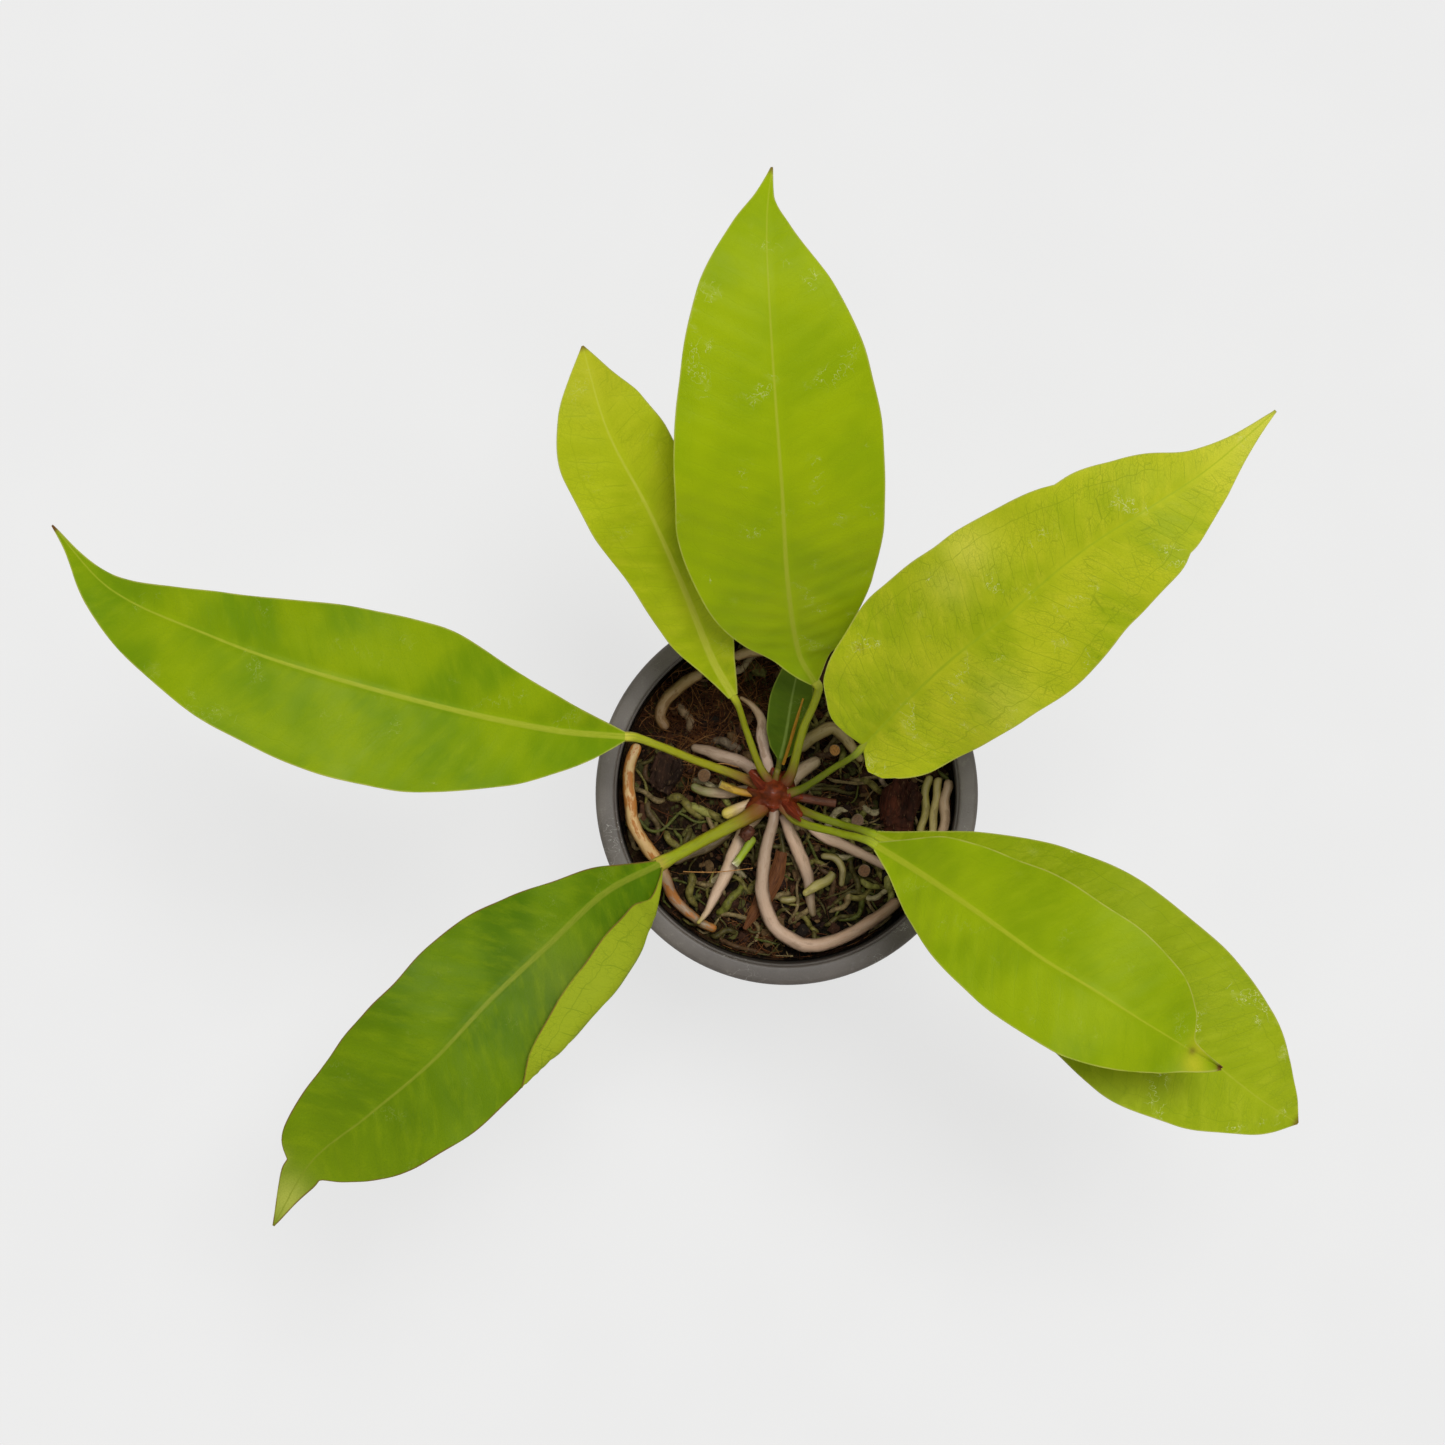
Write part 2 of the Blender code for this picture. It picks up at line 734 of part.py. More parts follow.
def blade_ring(path, at, left, right, flap, fold, rib_depth, thickness, columns):
    """One closed section of a blade, from its left margin over the top to the right and back."""
    centre, ahead = path.point(at), path.direction(at)
    sideways = Vector((0, 0, 1)).cross(ahead).normalized()
    up = ahead.cross(sideways)
    left_half = half_section(left, flap, fold, columns)
    right_half = [(-x, y) for x, y in half_section(right, 0, fold, COLUMNS)]
    line = [*reversed(left_half), (0, 0), *right_half]
    under = []
    for k, (x, y) in enumerate(line):
        before, after = line[max(k - 1, 0)], line[min(k + 1, len(line) - 1)]
        along = Vector((after[0] - before[0], after[1] - before[1])).normalized()
        depth = thickness + rib_depth if k == len(left_half) else thickness
        under.append((x - along.y * depth, y + along.x * depth))
    section = [*line, *reversed(under)]
    return [centre + sideways * x + up * y for x, y in section]


def make_blade(name, leaf, collection):
    path = Path([above_soil(*p) for p in leaf["rib"]])
    lefts = [(s, l * MM) for s, l, _ in leaf["outline"]]
    rights = [(s, r * MM) for s, _, r in leaf["outline"]]
    flaps = [(s, w * MM) for s, w in leaf.get("flap", [(0, 0), (1, 0)])]
    columns = CURLED_COLUMNS if "flap" in leaf else COLUMNS
    rings = []
    for at in BLADE_STATIONS:
        near_base = math.exp(-at / 0.12)
        fold = leaf["fold"][1] + (leaf["fold"][0] - leaf["fold"][1]) * near_base
        ring = blade_ring(
            path,
            at,
            smooth_value(lefts, at),
            smooth_value(rights, at),
            smooth_value(flaps, at),
            fold,
            RIB_DEPTH * (1 - at) ** 0.8,
            BLADE_THICKNESS,
            columns,
        )
        rings.append(ring)
    return add_object(f"blade_{name}", loft(rings), "blade", collection)


def make_petiole(name, leaf, collection, crown_cutter):
    """The leaf's stalk, from inside the crown to just short of its blade."""
    rib = Path([above_soil(*p) for p in leaf["rib"]])
    ahead = rib.direction(0)
    end = rib.point(0) - ahead * 2 * CLEARANCE
    start = [above_soil(*p) for p in leaf["petiole"]]
    path = Path([*start, end - ahead * 5 * MM, end])
    radius = PETIOLE_RADIUS * leaf.get("petiole_scale", 1)
    radii = (1.1 * radius, radius, 0.9 * radius, 0.9 * radius, 1.1 * radius)
    petiole = tube(f"petiole_{name}", path, radii, "petiole", collection)
    subtract(petiole, crown_cutter)


def make_roots(collection, crown_cutter):
    for name, (points, shares) in ROOTS.items():
        path = Path([in_pot(*p) for p in points])
        kind = "rootlet" if name.startswith(("rootlet", "root_green")) else "root"
        radii = [ROOT_RADIUS * share for share in shares]
        samples = 4 + 2 * len(points)
        root = tube(name, path, radii, kind, collection, samples)
        starts_in_crown = (path.point(0) - CROWN_CENTRE).length < CROWN_RADII.z
        if starts_in_crown:
            subtract(root, crown_cutter)


def make_stubs(collection, crown_cutter):
    for name, (points, radii) in STUBS.items():
        path = Path([above_soil(*p) for p in points])
        stub = tube(name, path, [r * MM for r in radii], "petiole", collection, samples=8)
        subtract(stub, crown_cutter)


def make_cut_roots(collection):
    for name, (x, y, top, radius) in CUT_ROOTS.items():
        bm = bmesh.new()
        height = top * MM - CLEARANCE
        bmesh.ops.create_cone(
            bm, cap_ends=True, segments=14, radius1=1.1 * radius * MM, radius2=radius * MM, depth=height
        )
        mesh = bpy.data.meshes.new(name)
        bm.to_mesh(mesh)
        bm.free()
        stump = add_object(name, mesh, "root", collection)
        stump.location = in_pot(x, y, 0) + Vector((0, 0, CLEARANCE + height / 2))


def make_chips(collection):
    """Broken pieces of bark: blocks whose corners are pulled in unevenly."""
    for order, (name, (x, y, height, length, width, thickness, turn)) in enumerate(CHIPS.items()):
        bm = bmesh.new()
        bmesh.ops.create_cube(bm, size=1)
        for k, vert in enumerate(bm.verts):
            vert.co.x *= length * MM * (1 - 0.16 * math.sin(2.1 * k + order) ** 2)
            vert.co.y *= width * MM * (1 - 0.2 * math.cos(1.7 * k + order) ** 2)
            vert.co.z *= thickness * MM
        bmesh.ops.rotate(bm, matrix=Matrix.Rotation(math.radians(turn), 3, "Z"), verts=bm.verts)
        mesh = bpy.data.meshes.new(name)
        bm.to_mesh(mesh)
        bm.free()
        chip = add_object(name, mesh, "bark", collection)
        chip.location = in_pot(x, y, height)
        edge = chip.modifiers.new("worn_edges", "BEVEL")
        edge.width = 0.6 * MM
        edge.segments = 2


def make_sheaths(collection, crown_cutter):
    for name, (points, widths) in SHEATHS.items():
        path = Path([above_soil(*p) for p in points])
        keys = [(k / (len(widths) - 1), w * MM) for k, w in enumerate(widths)]
        rings = []
        for k in range(SHEATH_STATIONS):
            at = k / (SHEATH_STATIONS - 1)
            width = smooth_value(keys, at)
            rings.append(blade_ring(path, at, width, width, 0, -0.25, 0, SHEATH_THICKNESS, COLUMNS))
        kind = "crown" if name in ("sheath_back_left", "sheath_front_right") else "dry"
        sheath = add_object(name, loft(rings), kind, collection)
        subtract(sheath, crown_cutter)


def main():
    clear_scene()
    parts = make_collection("potted_anthurium")
    cutters = make_collection("cutters")
    wider = CROWN_RADII + Vector((CLEARANCE, CLEARANCE, CLEARANCE))
    crown_cutter = as_cutter(ellipsoid("crown_clearance", CROWN_CENTRE, wider, "crown", cutters))
    ellipsoid("crown", CROWN_CENTRE, CROWN_RADII, "crown", parts)
    make_pot(parts, cutters)
    make_substrate(parts, crown_cutter)
    for name, leaf in LEAVES.items():
        make_petiole(name, leaf, parts, crown_cutter)
        make_blade(name, leaf, parts)
    make_roots(parts, crown_cutter)
    make_stubs(parts, crown_cutter)
    make_cut_roots(parts)
    make_chips(parts)
    ellipsoid("coir_clump", in_pot(*COIR_CENTRE), Vector(COIR_RADII) * MM, "coir", parts)
    make_sheaths(parts, crown_cutter)


main()
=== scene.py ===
"""Looks of the potted anthurium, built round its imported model.

Metres, +Z up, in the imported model's own frame. Routes and outlines of the plant are in
millimetres, with heights above the soil, and -Y is the front. Colours are linear.
"""

import math
import random

import bmesh
import bpy
import numpy as np
from mathutils import Matrix, Vector, noise


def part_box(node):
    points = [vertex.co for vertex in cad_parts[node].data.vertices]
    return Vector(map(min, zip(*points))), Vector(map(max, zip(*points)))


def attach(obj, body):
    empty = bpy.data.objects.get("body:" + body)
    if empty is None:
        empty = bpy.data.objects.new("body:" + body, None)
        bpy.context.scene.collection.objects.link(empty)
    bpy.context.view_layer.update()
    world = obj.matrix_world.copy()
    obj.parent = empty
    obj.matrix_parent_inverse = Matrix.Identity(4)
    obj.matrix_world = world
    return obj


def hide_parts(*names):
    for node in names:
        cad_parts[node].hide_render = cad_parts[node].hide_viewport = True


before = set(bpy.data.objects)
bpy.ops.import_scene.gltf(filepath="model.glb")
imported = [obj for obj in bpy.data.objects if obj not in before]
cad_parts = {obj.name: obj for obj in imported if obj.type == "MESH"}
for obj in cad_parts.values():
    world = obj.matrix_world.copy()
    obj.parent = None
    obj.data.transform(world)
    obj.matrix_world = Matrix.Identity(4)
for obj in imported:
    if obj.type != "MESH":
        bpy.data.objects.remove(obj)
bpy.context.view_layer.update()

MM = 0.001
TINY = 1e-6

# Pot and soil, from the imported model
POT_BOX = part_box("pot")
POT_HEIGHT = POT_BOX[1].z
RIM_RADIUS = POT_BOX[1].x
RIM_WIDTH = 6 * MM
WALL_STEP = 0.7 * MM
INNER_RADIUS = RIM_RADIUS - RIM_WIDTH - WALL_STEP
SOIL_DROP = 15 * MM
SOIL_TOP = POT_HEIGHT - SOIL_DROP
CROWN_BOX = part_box("crown")
CROWN_CENTRE = (CROWN_BOX[0] + CROWN_BOX[1]) / 2

BLADE_THICKNESS = 0.6 * MM
RIB_DEPTH = 1.6 * MM
PETIOLE_RADIUS = 1.65 * MM
ROOT_RADIUS = 2.6 * MM
CURL_RADIUS = 2.2 * MM

# Each leaf: where its petiole leaves the crown, the midrib, and the half-widths (share of the
# midrib, left, right) seen along the leaf from its base. fold is how steeply its halves rise from
# the midrib, at the base and at the tip.
LEAVES = {
    "left": {
        "petiole": [(-6, 1.2, 9), (-11.2, 4, 12), (-30.2, 11.3, 27)],
        "rib": [
            (-50, 18, 45), (-71, 20, 58), (-104, 27, 72), (-147, 39, 78), (-172, 48, 75),
            (-203, 62, 65), (-223, 82, 53),
        ],
        "outline": [
            (0, 1.5, 1.5), (0.08, 9.5, 6.8), (0.2, 19.5, 15), (0.35, 27.5, 23.3),
            (0.45, 28.5, 22.5), (0.6, 25, 17), (0.75, 17.5, 9.5), (0.87, 7.5, 3.5), (0.95, 2.2, 1),
            (1, 0.3, 0.3),
        ],
        "fold": (0.45, 0.1),
    },
    "front_left": {
        "petiole": [(-6.4, -2.7, 8), (-10.2, -6.1, 10.6), (-24.6, -13.5, 24)],
        "petiole_scale": 1.35,
        "rib": [
            (-39.5, -21, 43), (-55.5, -29, 57), (-72, -44, 69), (-89, -60, 76), (-106, -78, 78),
            (-126, -95, 73), (-143, -109, 65), (-156, -130, 53),
        ],
        "outline": [
            (0, 1.5, 1.5), (0.08, 14, 5), (0.18, 20.5, 12), (0.28, 24, 19), (0.4, 25, 24),
            (0.55, 24, 24.5), (0.7, 20.5, 20.5), (0.82, 12, 13.5), (0.9, 4.5, 6), (1, 0.3, 0.3),
        ],
        "fold": (0.35, 0.12),
    },
    "back_left": {
        "petiole": [(-5, 3, 10.5), (-8.4, 8.4, 14.5), (-12.8, 20, 29)],
        "petiole_scale": 0.85,
        "rib": [
            (-17, 30.5, 47), (-23, 41, 59), (-32, 63, 79), (-42, 85, 94), (-53.5, 107, 104),
            (-60.5, 131, 107),
        ],
        "outline": [
            (0, 1.5, 1.5), (0.1, 4, 5.5), (0.25, 10.5, 10.5), (0.45, 14.5, 13.5), (0.62, 18, 15.5),
            (0.75, 17.5, 16), (0.86, 12.5, 12.5), (0.94, 6, 5.5), (1, 0.3, 0.3),
        ],
        "fold": (0.5, 0.1),
    },
    "back": {
        "petiole": [(-0.8, 2.7, 10), (1.3, 6.2, 14), (4.7, 20, 30)],
        "rib": [
            (8, 34.5, 45), (3, 43, 58), (-1, 64, 88), (-3, 90, 111), (-5, 114, 122),
            (-7, 145, 127), (-7.5, 165, 124), (-6, 181, 118),
        ],
        "outline": [
            (0, 1.5, 1.5), (0.08, 6.5, 11), (0.16, 16, 17), (0.28, 25.5, 25), (0.42, 31.3, 29),
            (0.55, 30.3, 30), (0.68, 26.5, 27), (0.8, 20.5, 18.5), (0.9, 10, 6.5), (0.95, 4, 1.5),
            (1, 0.3, 0.3),
        ],
        "fold": (0.3, 0.06),
    },
    "back_right": {
        "petiole": [(-0.5, -0.5, 10), (5.1, 1.8, 14), (14.5, 8.6, 35)],
        "rib": [
            (22.3, 15, 57), (36, 30, 74), (48, 41.5, 87), (61, 52, 97), (73, 63, 104),
            (86, 73.5, 110), (101, 83, 113), (120, 95.5, 108), (141, 113, 97),
        ],
        "outline": [
            (0, 1.5, 1.5), (0.012, 12, 12), (0.04, 17.5, 16), (0.08, 23, 19.5), (0.16, 27, 23.5),
            (0.26, 29.8, 26.2), (0.42, 28.5, 28.5), (0.56, 23, 25.5), (0.7, 17, 20),
            (0.82, 7.5, 10), (0.91, 3, 4), (1, 0.3, 0.3),
        ],
        "fold": (0.35, 0.08),
    },
    "front_right": {
        "petiole": [(-2.1, -3, 10), (2.9, -8.2, 13), (14.5, -11.4, 33)],
        "rib": [
            (26.5, -15, 55), (38, -22, 68), (50, -30, 81), (62, -38.5, 91), (74, -47, 98),
            (86.5, -54.5, 102), (103, -65, 101), (126, -79, 90),
        ],
        "outline": [
            (0, 1.5, 1.5), (0.07, 6.3, 5), (0.18, 14, 13), (0.32, 19, 18.5), (0.5, 23, 21.5),
            (0.64, 22.5, 21.5), (0.78, 18.5, 16.5), (0.87, 11, 11), (0.91, 2.8, 7), (1, 0.3, 0.3),
        ],
        "fold": (0.3, -0.02),
    },
    "right": {
        "petiole": [(-0.4, -2.1, 6), (4.6, -5.2, 8), (16.5, -9.3, 18)],
        "rib": [
            (27, -12.5, 33), (43, -19, 46), (63.5, -29.5, 57), (87, -46, 65), (110.5, -65, 68),
            (130, -82, 65), (143, -92, 60), (154, -99, 53),
        ],
        "outline": [
            (0, 1.5, 1.5), (0.08, 5.6, 5.5), (0.2, 13.5, 13.5), (0.35, 23, 23), (0.5, 28, 28),
            (0.65, 27.8, 29.5), (0.8, 23, 22), (0.9, 15, 12.5), (0.96, 7.5, 6), (1, 0.3, 0.3),
        ],
        "fold": (0.3, 0.05),
    },
    "young": {
        "petiole": [(-4, 2.5, 10), (-3, 7, 12)], "petiole_scale": 0.7,
        "rib": [(-2, 11, 14), (-0.5, 18, 20), (1.5, 31, 31), (4, 42, 38), (6, 48, 40)],
        "outline": [
            (0, 1.2, 1.2), (0.12, 4.4, 4.4), (0.3, 6.4, 6.4), (0.5, 6.8, 6.8), (0.75, 5, 5),
            (1, 0.3, 0.3),
        ],
        "fold": (0.3, 0.2),
    },
}

# Roots: (x, y, height) and their thickness as a share of ROOT_RADIUS, at the start, middle and end.
ROOTS = {
    "root_left_wall": (
        [
            (-46.6, 15.6, 8), (-49.4, 8, 9.5), (-48.7, -6.1, 9), (-45.3, -15, 8), (-41, -21, 6),
            (-34.5, -34, 3.4), (-27.5, -40.5, 3.2), (-22, -43, 3.2),
        ],
        (0.8, 0.95, 0.6),
    ),
    "root_front_left": (
        [
            (-6.3, -3.5, 2.7), (-10.3, -8.6, 3.2), (-14, -13, 4.8), (-18.4, -23.8, 6.4),
            (-24.3, -36, 7.5), (-28, -41, 7.6),
        ],
        (0.75, 1.05, 0.3),
    ),
    "root_front_loop": (
        [
            (-3.8, -2.5, 8.5), (-4.2, -8.5, 9.6), (-5.8, -15, 9.4), (-7.7, -25.7, 8.5),
            (-6.7, -35.4, 6.5), (-2.6, -43.2, 5), (4.6, -47.6, 4.3), (13, -47.2, 4.3),
            (22.6, -43, 4.3), (30.5, -37.8, 4.3), (35.5, -33.5, 4.3),
        ],
        (0.75, 1.05, 0.9),
    ),
    "root_front": (
        [
            (-2.8, -2, 5), (0, -9, 5.6), (2.8, -16, 5.4), (6, -24, 4.5), (7.5, -33, 3.6),
            (8.6, -39, 2.4),
        ],
        (0.72, 1, 0.5),
    ),
    "root_right_front": (
        [
            (-1, -1.2, 2.6), (2.8, -5, 3), (7, -9.6, 3.8), (13, -14, 4), (22, -18.3, 3.4),
            (32, -23.5, 2.4),
        ],
        (0.65, 0.85, 0.6),
    ),
    "root_left_stub": (
        [(-7, -0.9, 4.8), (-13, -3.9, 5), (-16.8, -5.6, 5), (-20.3, -6.9, 4.8)],
        (0.6, 0.85, 0.9),
    ),
    "root_left_pink": (
        [(-8, 0.9, 2.3), (-14, 0.7, 2.5), (-20.3, 0.2, 2.8), (-26, 0.5, 2.6), (-30, 2.5, 2.4)],
        (0.6, 0.8, 0.6),
    ),
    "root_back_up": (
        [
            (-5.2, 3, 6.2), (-5.9, 9, 9.2), (-7.7, 17.5, 11), (-7.6, 22.5, 12),
            (-10.9, 27.5, 12.5), (-14.6, 30.3, 12),
        ],
        (0.75, 0.8, 0.25),
    ),
    "root_back_left_arch": (
        [
            (-7.3, 3.8, 3.4), (-12, 8.2, 4.2), (-16.8, 10.8, 4.4), (-21.2, 12.1, 4),
            (-25.6, 13.6, 3.2), (-30, 14.6, 2.4),
        ],
        (0.8, 0.95, 0.6),
    ),
    "root_back_right": (
        [(-1, 1, 3.5), (2.7, 5, 4), (6.5, 8.4, 4), (10.5, 10.8, 3.6)],
        (0.9, 1.05, 0.9),
    ),
    "root_back_right_bend": (
        [
            (3.4, 13.5, 3), (7.5, 17, 3.4), (11.9, 20, 4), (15, 20.6, 4), (18.5, 17.6, 3.6),
            (21, 14, 3), (24, 10, 2.6),
        ],
        (0.95, 0.95, 0.55),
    ),
    "root_back_left_wall": (
        [
            (-26.6, 37.8, 3.2), (-32, 35, 4), (-36.4, 31, 4.4), (-39, 27, 4.2), (-39.6, 23.7, 3.6),
            (-37.6, 20.2, 2.8),
        ],
        (0.8, 0.95, 0.8),
    ),
    "root_back_wall": ([(-16.5, 43, 2.6), (-11.4, 44.4, 3.4), (-6, 44.6, 2.6)], (0.7, 0.8, 0.7)),
    "rootlet_right_inner": (
        [(45.5, 5.6, 3.4), (43.6, -2.8, 4.4), (42.3, -13, 2.6)],
        (0.5, 0.55, 0.5),
    ),
    "rootlet_right_middle": (
        [(48.3, 5, 4.4), (47.1, -2.7, 5.4), (45.8, -13, 3.4)],
        (0.5, 0.55, 0.5),
    ),
    "rootlet_right_outer": ([(51, 4.4, 5), (50.4, -4.3, 6.4), (48.8, -13, 5)], (0.6, 0.68, 0.6)),
    "root_under_petiole": (
        [(-17.5, -12.6, 1.9), (-22, -15.4, 2.5), (-28, -18.4, 2.6), (-36, -21.8, 2.3)],
        (0.6, 0.8, 0.6),
    ),
    "root_green_tip": (
        [(14.6, -25, 4), (11.5, -27.8, 7.4), (8.5, -30.2, 9), (5.2, -31.8, 8.4)],
        (0.6, 0.75, 0.5),
    ),
    "root_green_left": ([(3.2, -33.2, 2.4), (0.6, -33.9, 2.8), (-2, -33.6, 2.2)], (0.5, 0.55, 0.5)),
    "root_green_hook": (
        [(11, -19.5, 2.4), (15, -21, 3), (17.6, -24.5, 3), (17.4, -29.5, 2.4)],
        (0.5, 0.55, 0.4),
    ),
}

# Cut petiole stubs and a young shoot on the crown: route, radius in mm at the start and the end.
STUBS = {
    "shoot_front": ([(-10.2, -13.6, 10.5), (-13.6, -18.6, 11.2), (-16.4, -22.4, 11.6)], (1.7, 1.5)),
    "stub_right": ([(-1, 0, 8), (4.3, -1.2, 8.6), (9.9, -2.3, 9), (15.5, -3, 9)], (1.6, 1.5)),
    "stub_left": ([(-8, -0.2, 7), (-13, 0.2, 7.4), (-17.1, 1.4, 8.2), (-20.9, 3, 9)], (1.3, 1.4)),
}

# Round ends of cut roots that stand up out of the soil: x, y, top, radius, in mm.
CUT_ROOTS = {
    "cut_root_back": (15.2, 13.6, 8.4, 1.7),
    "cut_root_left": (-25.9, 5.6, 4.4, 2.0),
    "cut_root_right": (22.5, -8.6, 4.4, 1.9),
    "cut_root_front": (24.6, -24.4, 4.4, 1.9),
}

# Bark chips: centre x, y, height of the centre, length, width, thickness, turn in degrees.
CHIPS = {
    "chip_right": (36.2, -3, 4.3, 17, 9.5, 7, 82),
    "chip_back": (9, 36, 3.2, 13, 9, 5, 20),
    "chip_left": (-38, 6.5, 2.7, 12, 8, 4, 70),
}

# Dried sheaths: midrib and half-width in mm at its start, middle and end.
SHEATHS = {
    "sheath_back_left": ([(-5.8, 0.8, 13), (-8.8, 3.4, 16), (-11.8, 6.8, 18.5)], (2, 1.5, 0.3)),
    "sheath_front_right": ([(-1.5, -2, 12), (1.2, -5, 15.8), (4.2, -8.4, 19.2)], (2.8, 1.9, 0.3)),
    "sheath_dried": (
        [(-1.4, -18.5, 4), (-3.2, -26, 3.4), (-8, -34.5, 3), (-13.2, -43, 2.4)],
        (1.4, 2.3, 0.5),
    ),
    "strip_back": (
        [(-1.2, 9, 15.5), (0.6, 15, 22), (2.6, 22.5, 30.6), (4.6, 29.5, 38)],
        (0.8, 0.8, 0.4),
    ),
}

# ---------------------------------------------------------------- curves and meshes


def smooth(keys, at, limited=True):
    """Values at places on the smooth curve through keys, a list of (place, value)."""
    xs, ys = np.array(keys, float).T
    rises = np.diff(ys) / np.diff(xs)
    slopes = np.concatenate([rises[:1], ys[1:-1], rises[-1:]])
    before, after = rises[:-1], rises[1:]
    if limited:
        turning = before * after <= 0
        total = np.where(turning, 1, before + after)
        slopes[1:-1] = np.where(turning, 0, 2 * before * after / total)
    else:
        slopes[1:-1] = (ys[2:] - ys[:-2]) / (xs[2:] - xs[:-2])
    at = np.clip(at, xs[0], xs[-1])
    i = np.clip(np.searchsorted(xs, at, side="right") - 1, 0, len(xs) - 2)
    step = xs[i + 1] - xs[i]
    t = (at - xs[i]) / step
    return (
        (2 * t**3 - 3 * t**2 + 1) * ys[i]
        + (t**3 - 2 * t**2 + t) * step * slopes[i]
        + (3 * t**2 - 2 * t**3) * ys[i + 1]
        + (t**3 - t**2) * step * slopes[i + 1]
    )


def unit(vectors):
    return vectors / np.maximum(np.linalg.norm(vectors, axis=-1, keepdims=True), 1e-12)


class Path:
    """A smooth curve through points given in mm and height above the soil."""

    def __init__(self, points):
        self.points = np.array(points, float) * MM + (0, 0, SOIL_TOP)
        steps = np.linalg.norm(np.diff(self.points, axis=0), axis=1)
        self.length = steps.sum()
        self.places = np.concatenate([[0], np.cumsum(steps)]) / self.length

    def point(self, at):
        columns = [list(zip(self.places, self.points[:, k])) for k in range(3)]
        return np.stack([smooth(keys, at, limited=False) for keys in columns], -1)

    def ahead(self, at, reach=0.01):
        return unit(self.point(np.minimum(at + reach, 1)) - self.point(np.maximum(at - reach, 0)))

    def frames(self, at):
        """Centre, sideways and up at each place; sideways is to the left of the way ahead."""
        ahead = self.ahead(at)
        sideways = unit(np.cross((0, 0, 1), ahead))
        return self.point(at), sideways, np.cross(ahead, sideways)


def grain(points, size, octaves=2, shift=0.0):
    """Smooth random values, about -1 to 1, at points; size is that of their bumps."""
    off = Vector((shift,) * 3)
    places = points.reshape(-1, 3)
    values = [noise.fractal(Vector(p) / size + off, 1, 2, octaves) for p in places]
    return np.reshape(values, points.shape[:-1])


def bell(x, width):
    return np.exp(-((x / width) ** 2))


def turn_angles(count):
    return 2 * math.pi * np.arange(count) / count


def off_angle(angles, middle):
    """How far angles are from a middle one, the short way round."""
    return np.abs((angles - middle + math.pi) % (2 * math.pi) - math.pi)


def level(x, y):
    """Points on a flat sheet, as places to look up grain."""
    return np.stack(np.broadcast_arrays(x, y, 0 * x), -1)


def loft_faces(rings, around):
    """Quads between rings of equally many points, and a cap at each end."""
    i, j = np.arange(rings - 1)[:, None] * around, np.arange(around)[None]
    k = (j + 1) % around
    quads = np.stack([i + j, i + k, i + around + k, i + around + j], -1).reshape(-1, 4)
    first = list(range(around))
    last = [(rings - 1) * around + n for n in reversed(first)]
    return [*quads.tolist(), first, last]


def piece(name, points, faces, material, nodes=(), fields=None, sharp=50):
    """A closed mesh that rides on the root body and stands for some of the model's nodes."""
    mesh = bpy.data.meshes.new(name)
    mesh.from_pydata(np.asarray(points, float).reshape(-1, 3).tolist(), [], faces)
    for field, values in (fields or {}).items():
        values = np.asarray(values, np.float32)
        kind = "FLOAT_VECTOR" if values.ndim > 1 else "FLOAT"
        attribute = mesh.attributes.new(field, kind, "POINT")
        attribute.data.foreach_set("vector" if values.ndim > 1 else "value", values.ravel())
    mesh.calc_loop_triangles()
    corners = np.array([mesh.vertices[v].co for t in mesh.loop_triangles for v in t.vertices])
    a, b, c = corners.reshape(-1, 3, 3).transpose(1, 0, 2)
    if (a * np.cross(b, c)).sum() < 0:
        mesh.flip_normals()
    mesh.materials.append(material)
    mesh.shade_smooth()
    mesh.set_sharp_from_angle(angle=math.radians(sharp))
    obj = bpy.data.objects.new(name, mesh)
    bpy.context.scene.collection.objects.link(obj)
    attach(obj, "root")
    if nodes:
        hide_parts(*nodes)
    return obj


class Pile:
    """Many small closed meshes gathered into one, each with its own tint."""

    def __init__(self):
        self.points, self.faces, self.tints, self.count = [], [], [], 0

    def add(self, points, faces, tint):
        points = np.asarray(points, float).reshape(-1, 3)
        self.points.append(points)
        self.faces += [[v + self.count for v in face] for face in faces]
        self.tints.append(np.broadcast_to(tint, points.shape))
        self.count += len(points)

    def make(self, name, material, nodes=(), sharp=50):
        points, tints = np.concatenate(self.points), np.concatenate(self.tints)
        return piece(name, points, self.faces, material, nodes, {"tint": tints}, sharp)


STEM_AROUND = 22
LUMP_LENGTH = 2.6 * MM
WRINKLE_LENGTH = 0.5 * MM
SWAY_LENGTHS = (2.1 * MM, 3.7 * MM)


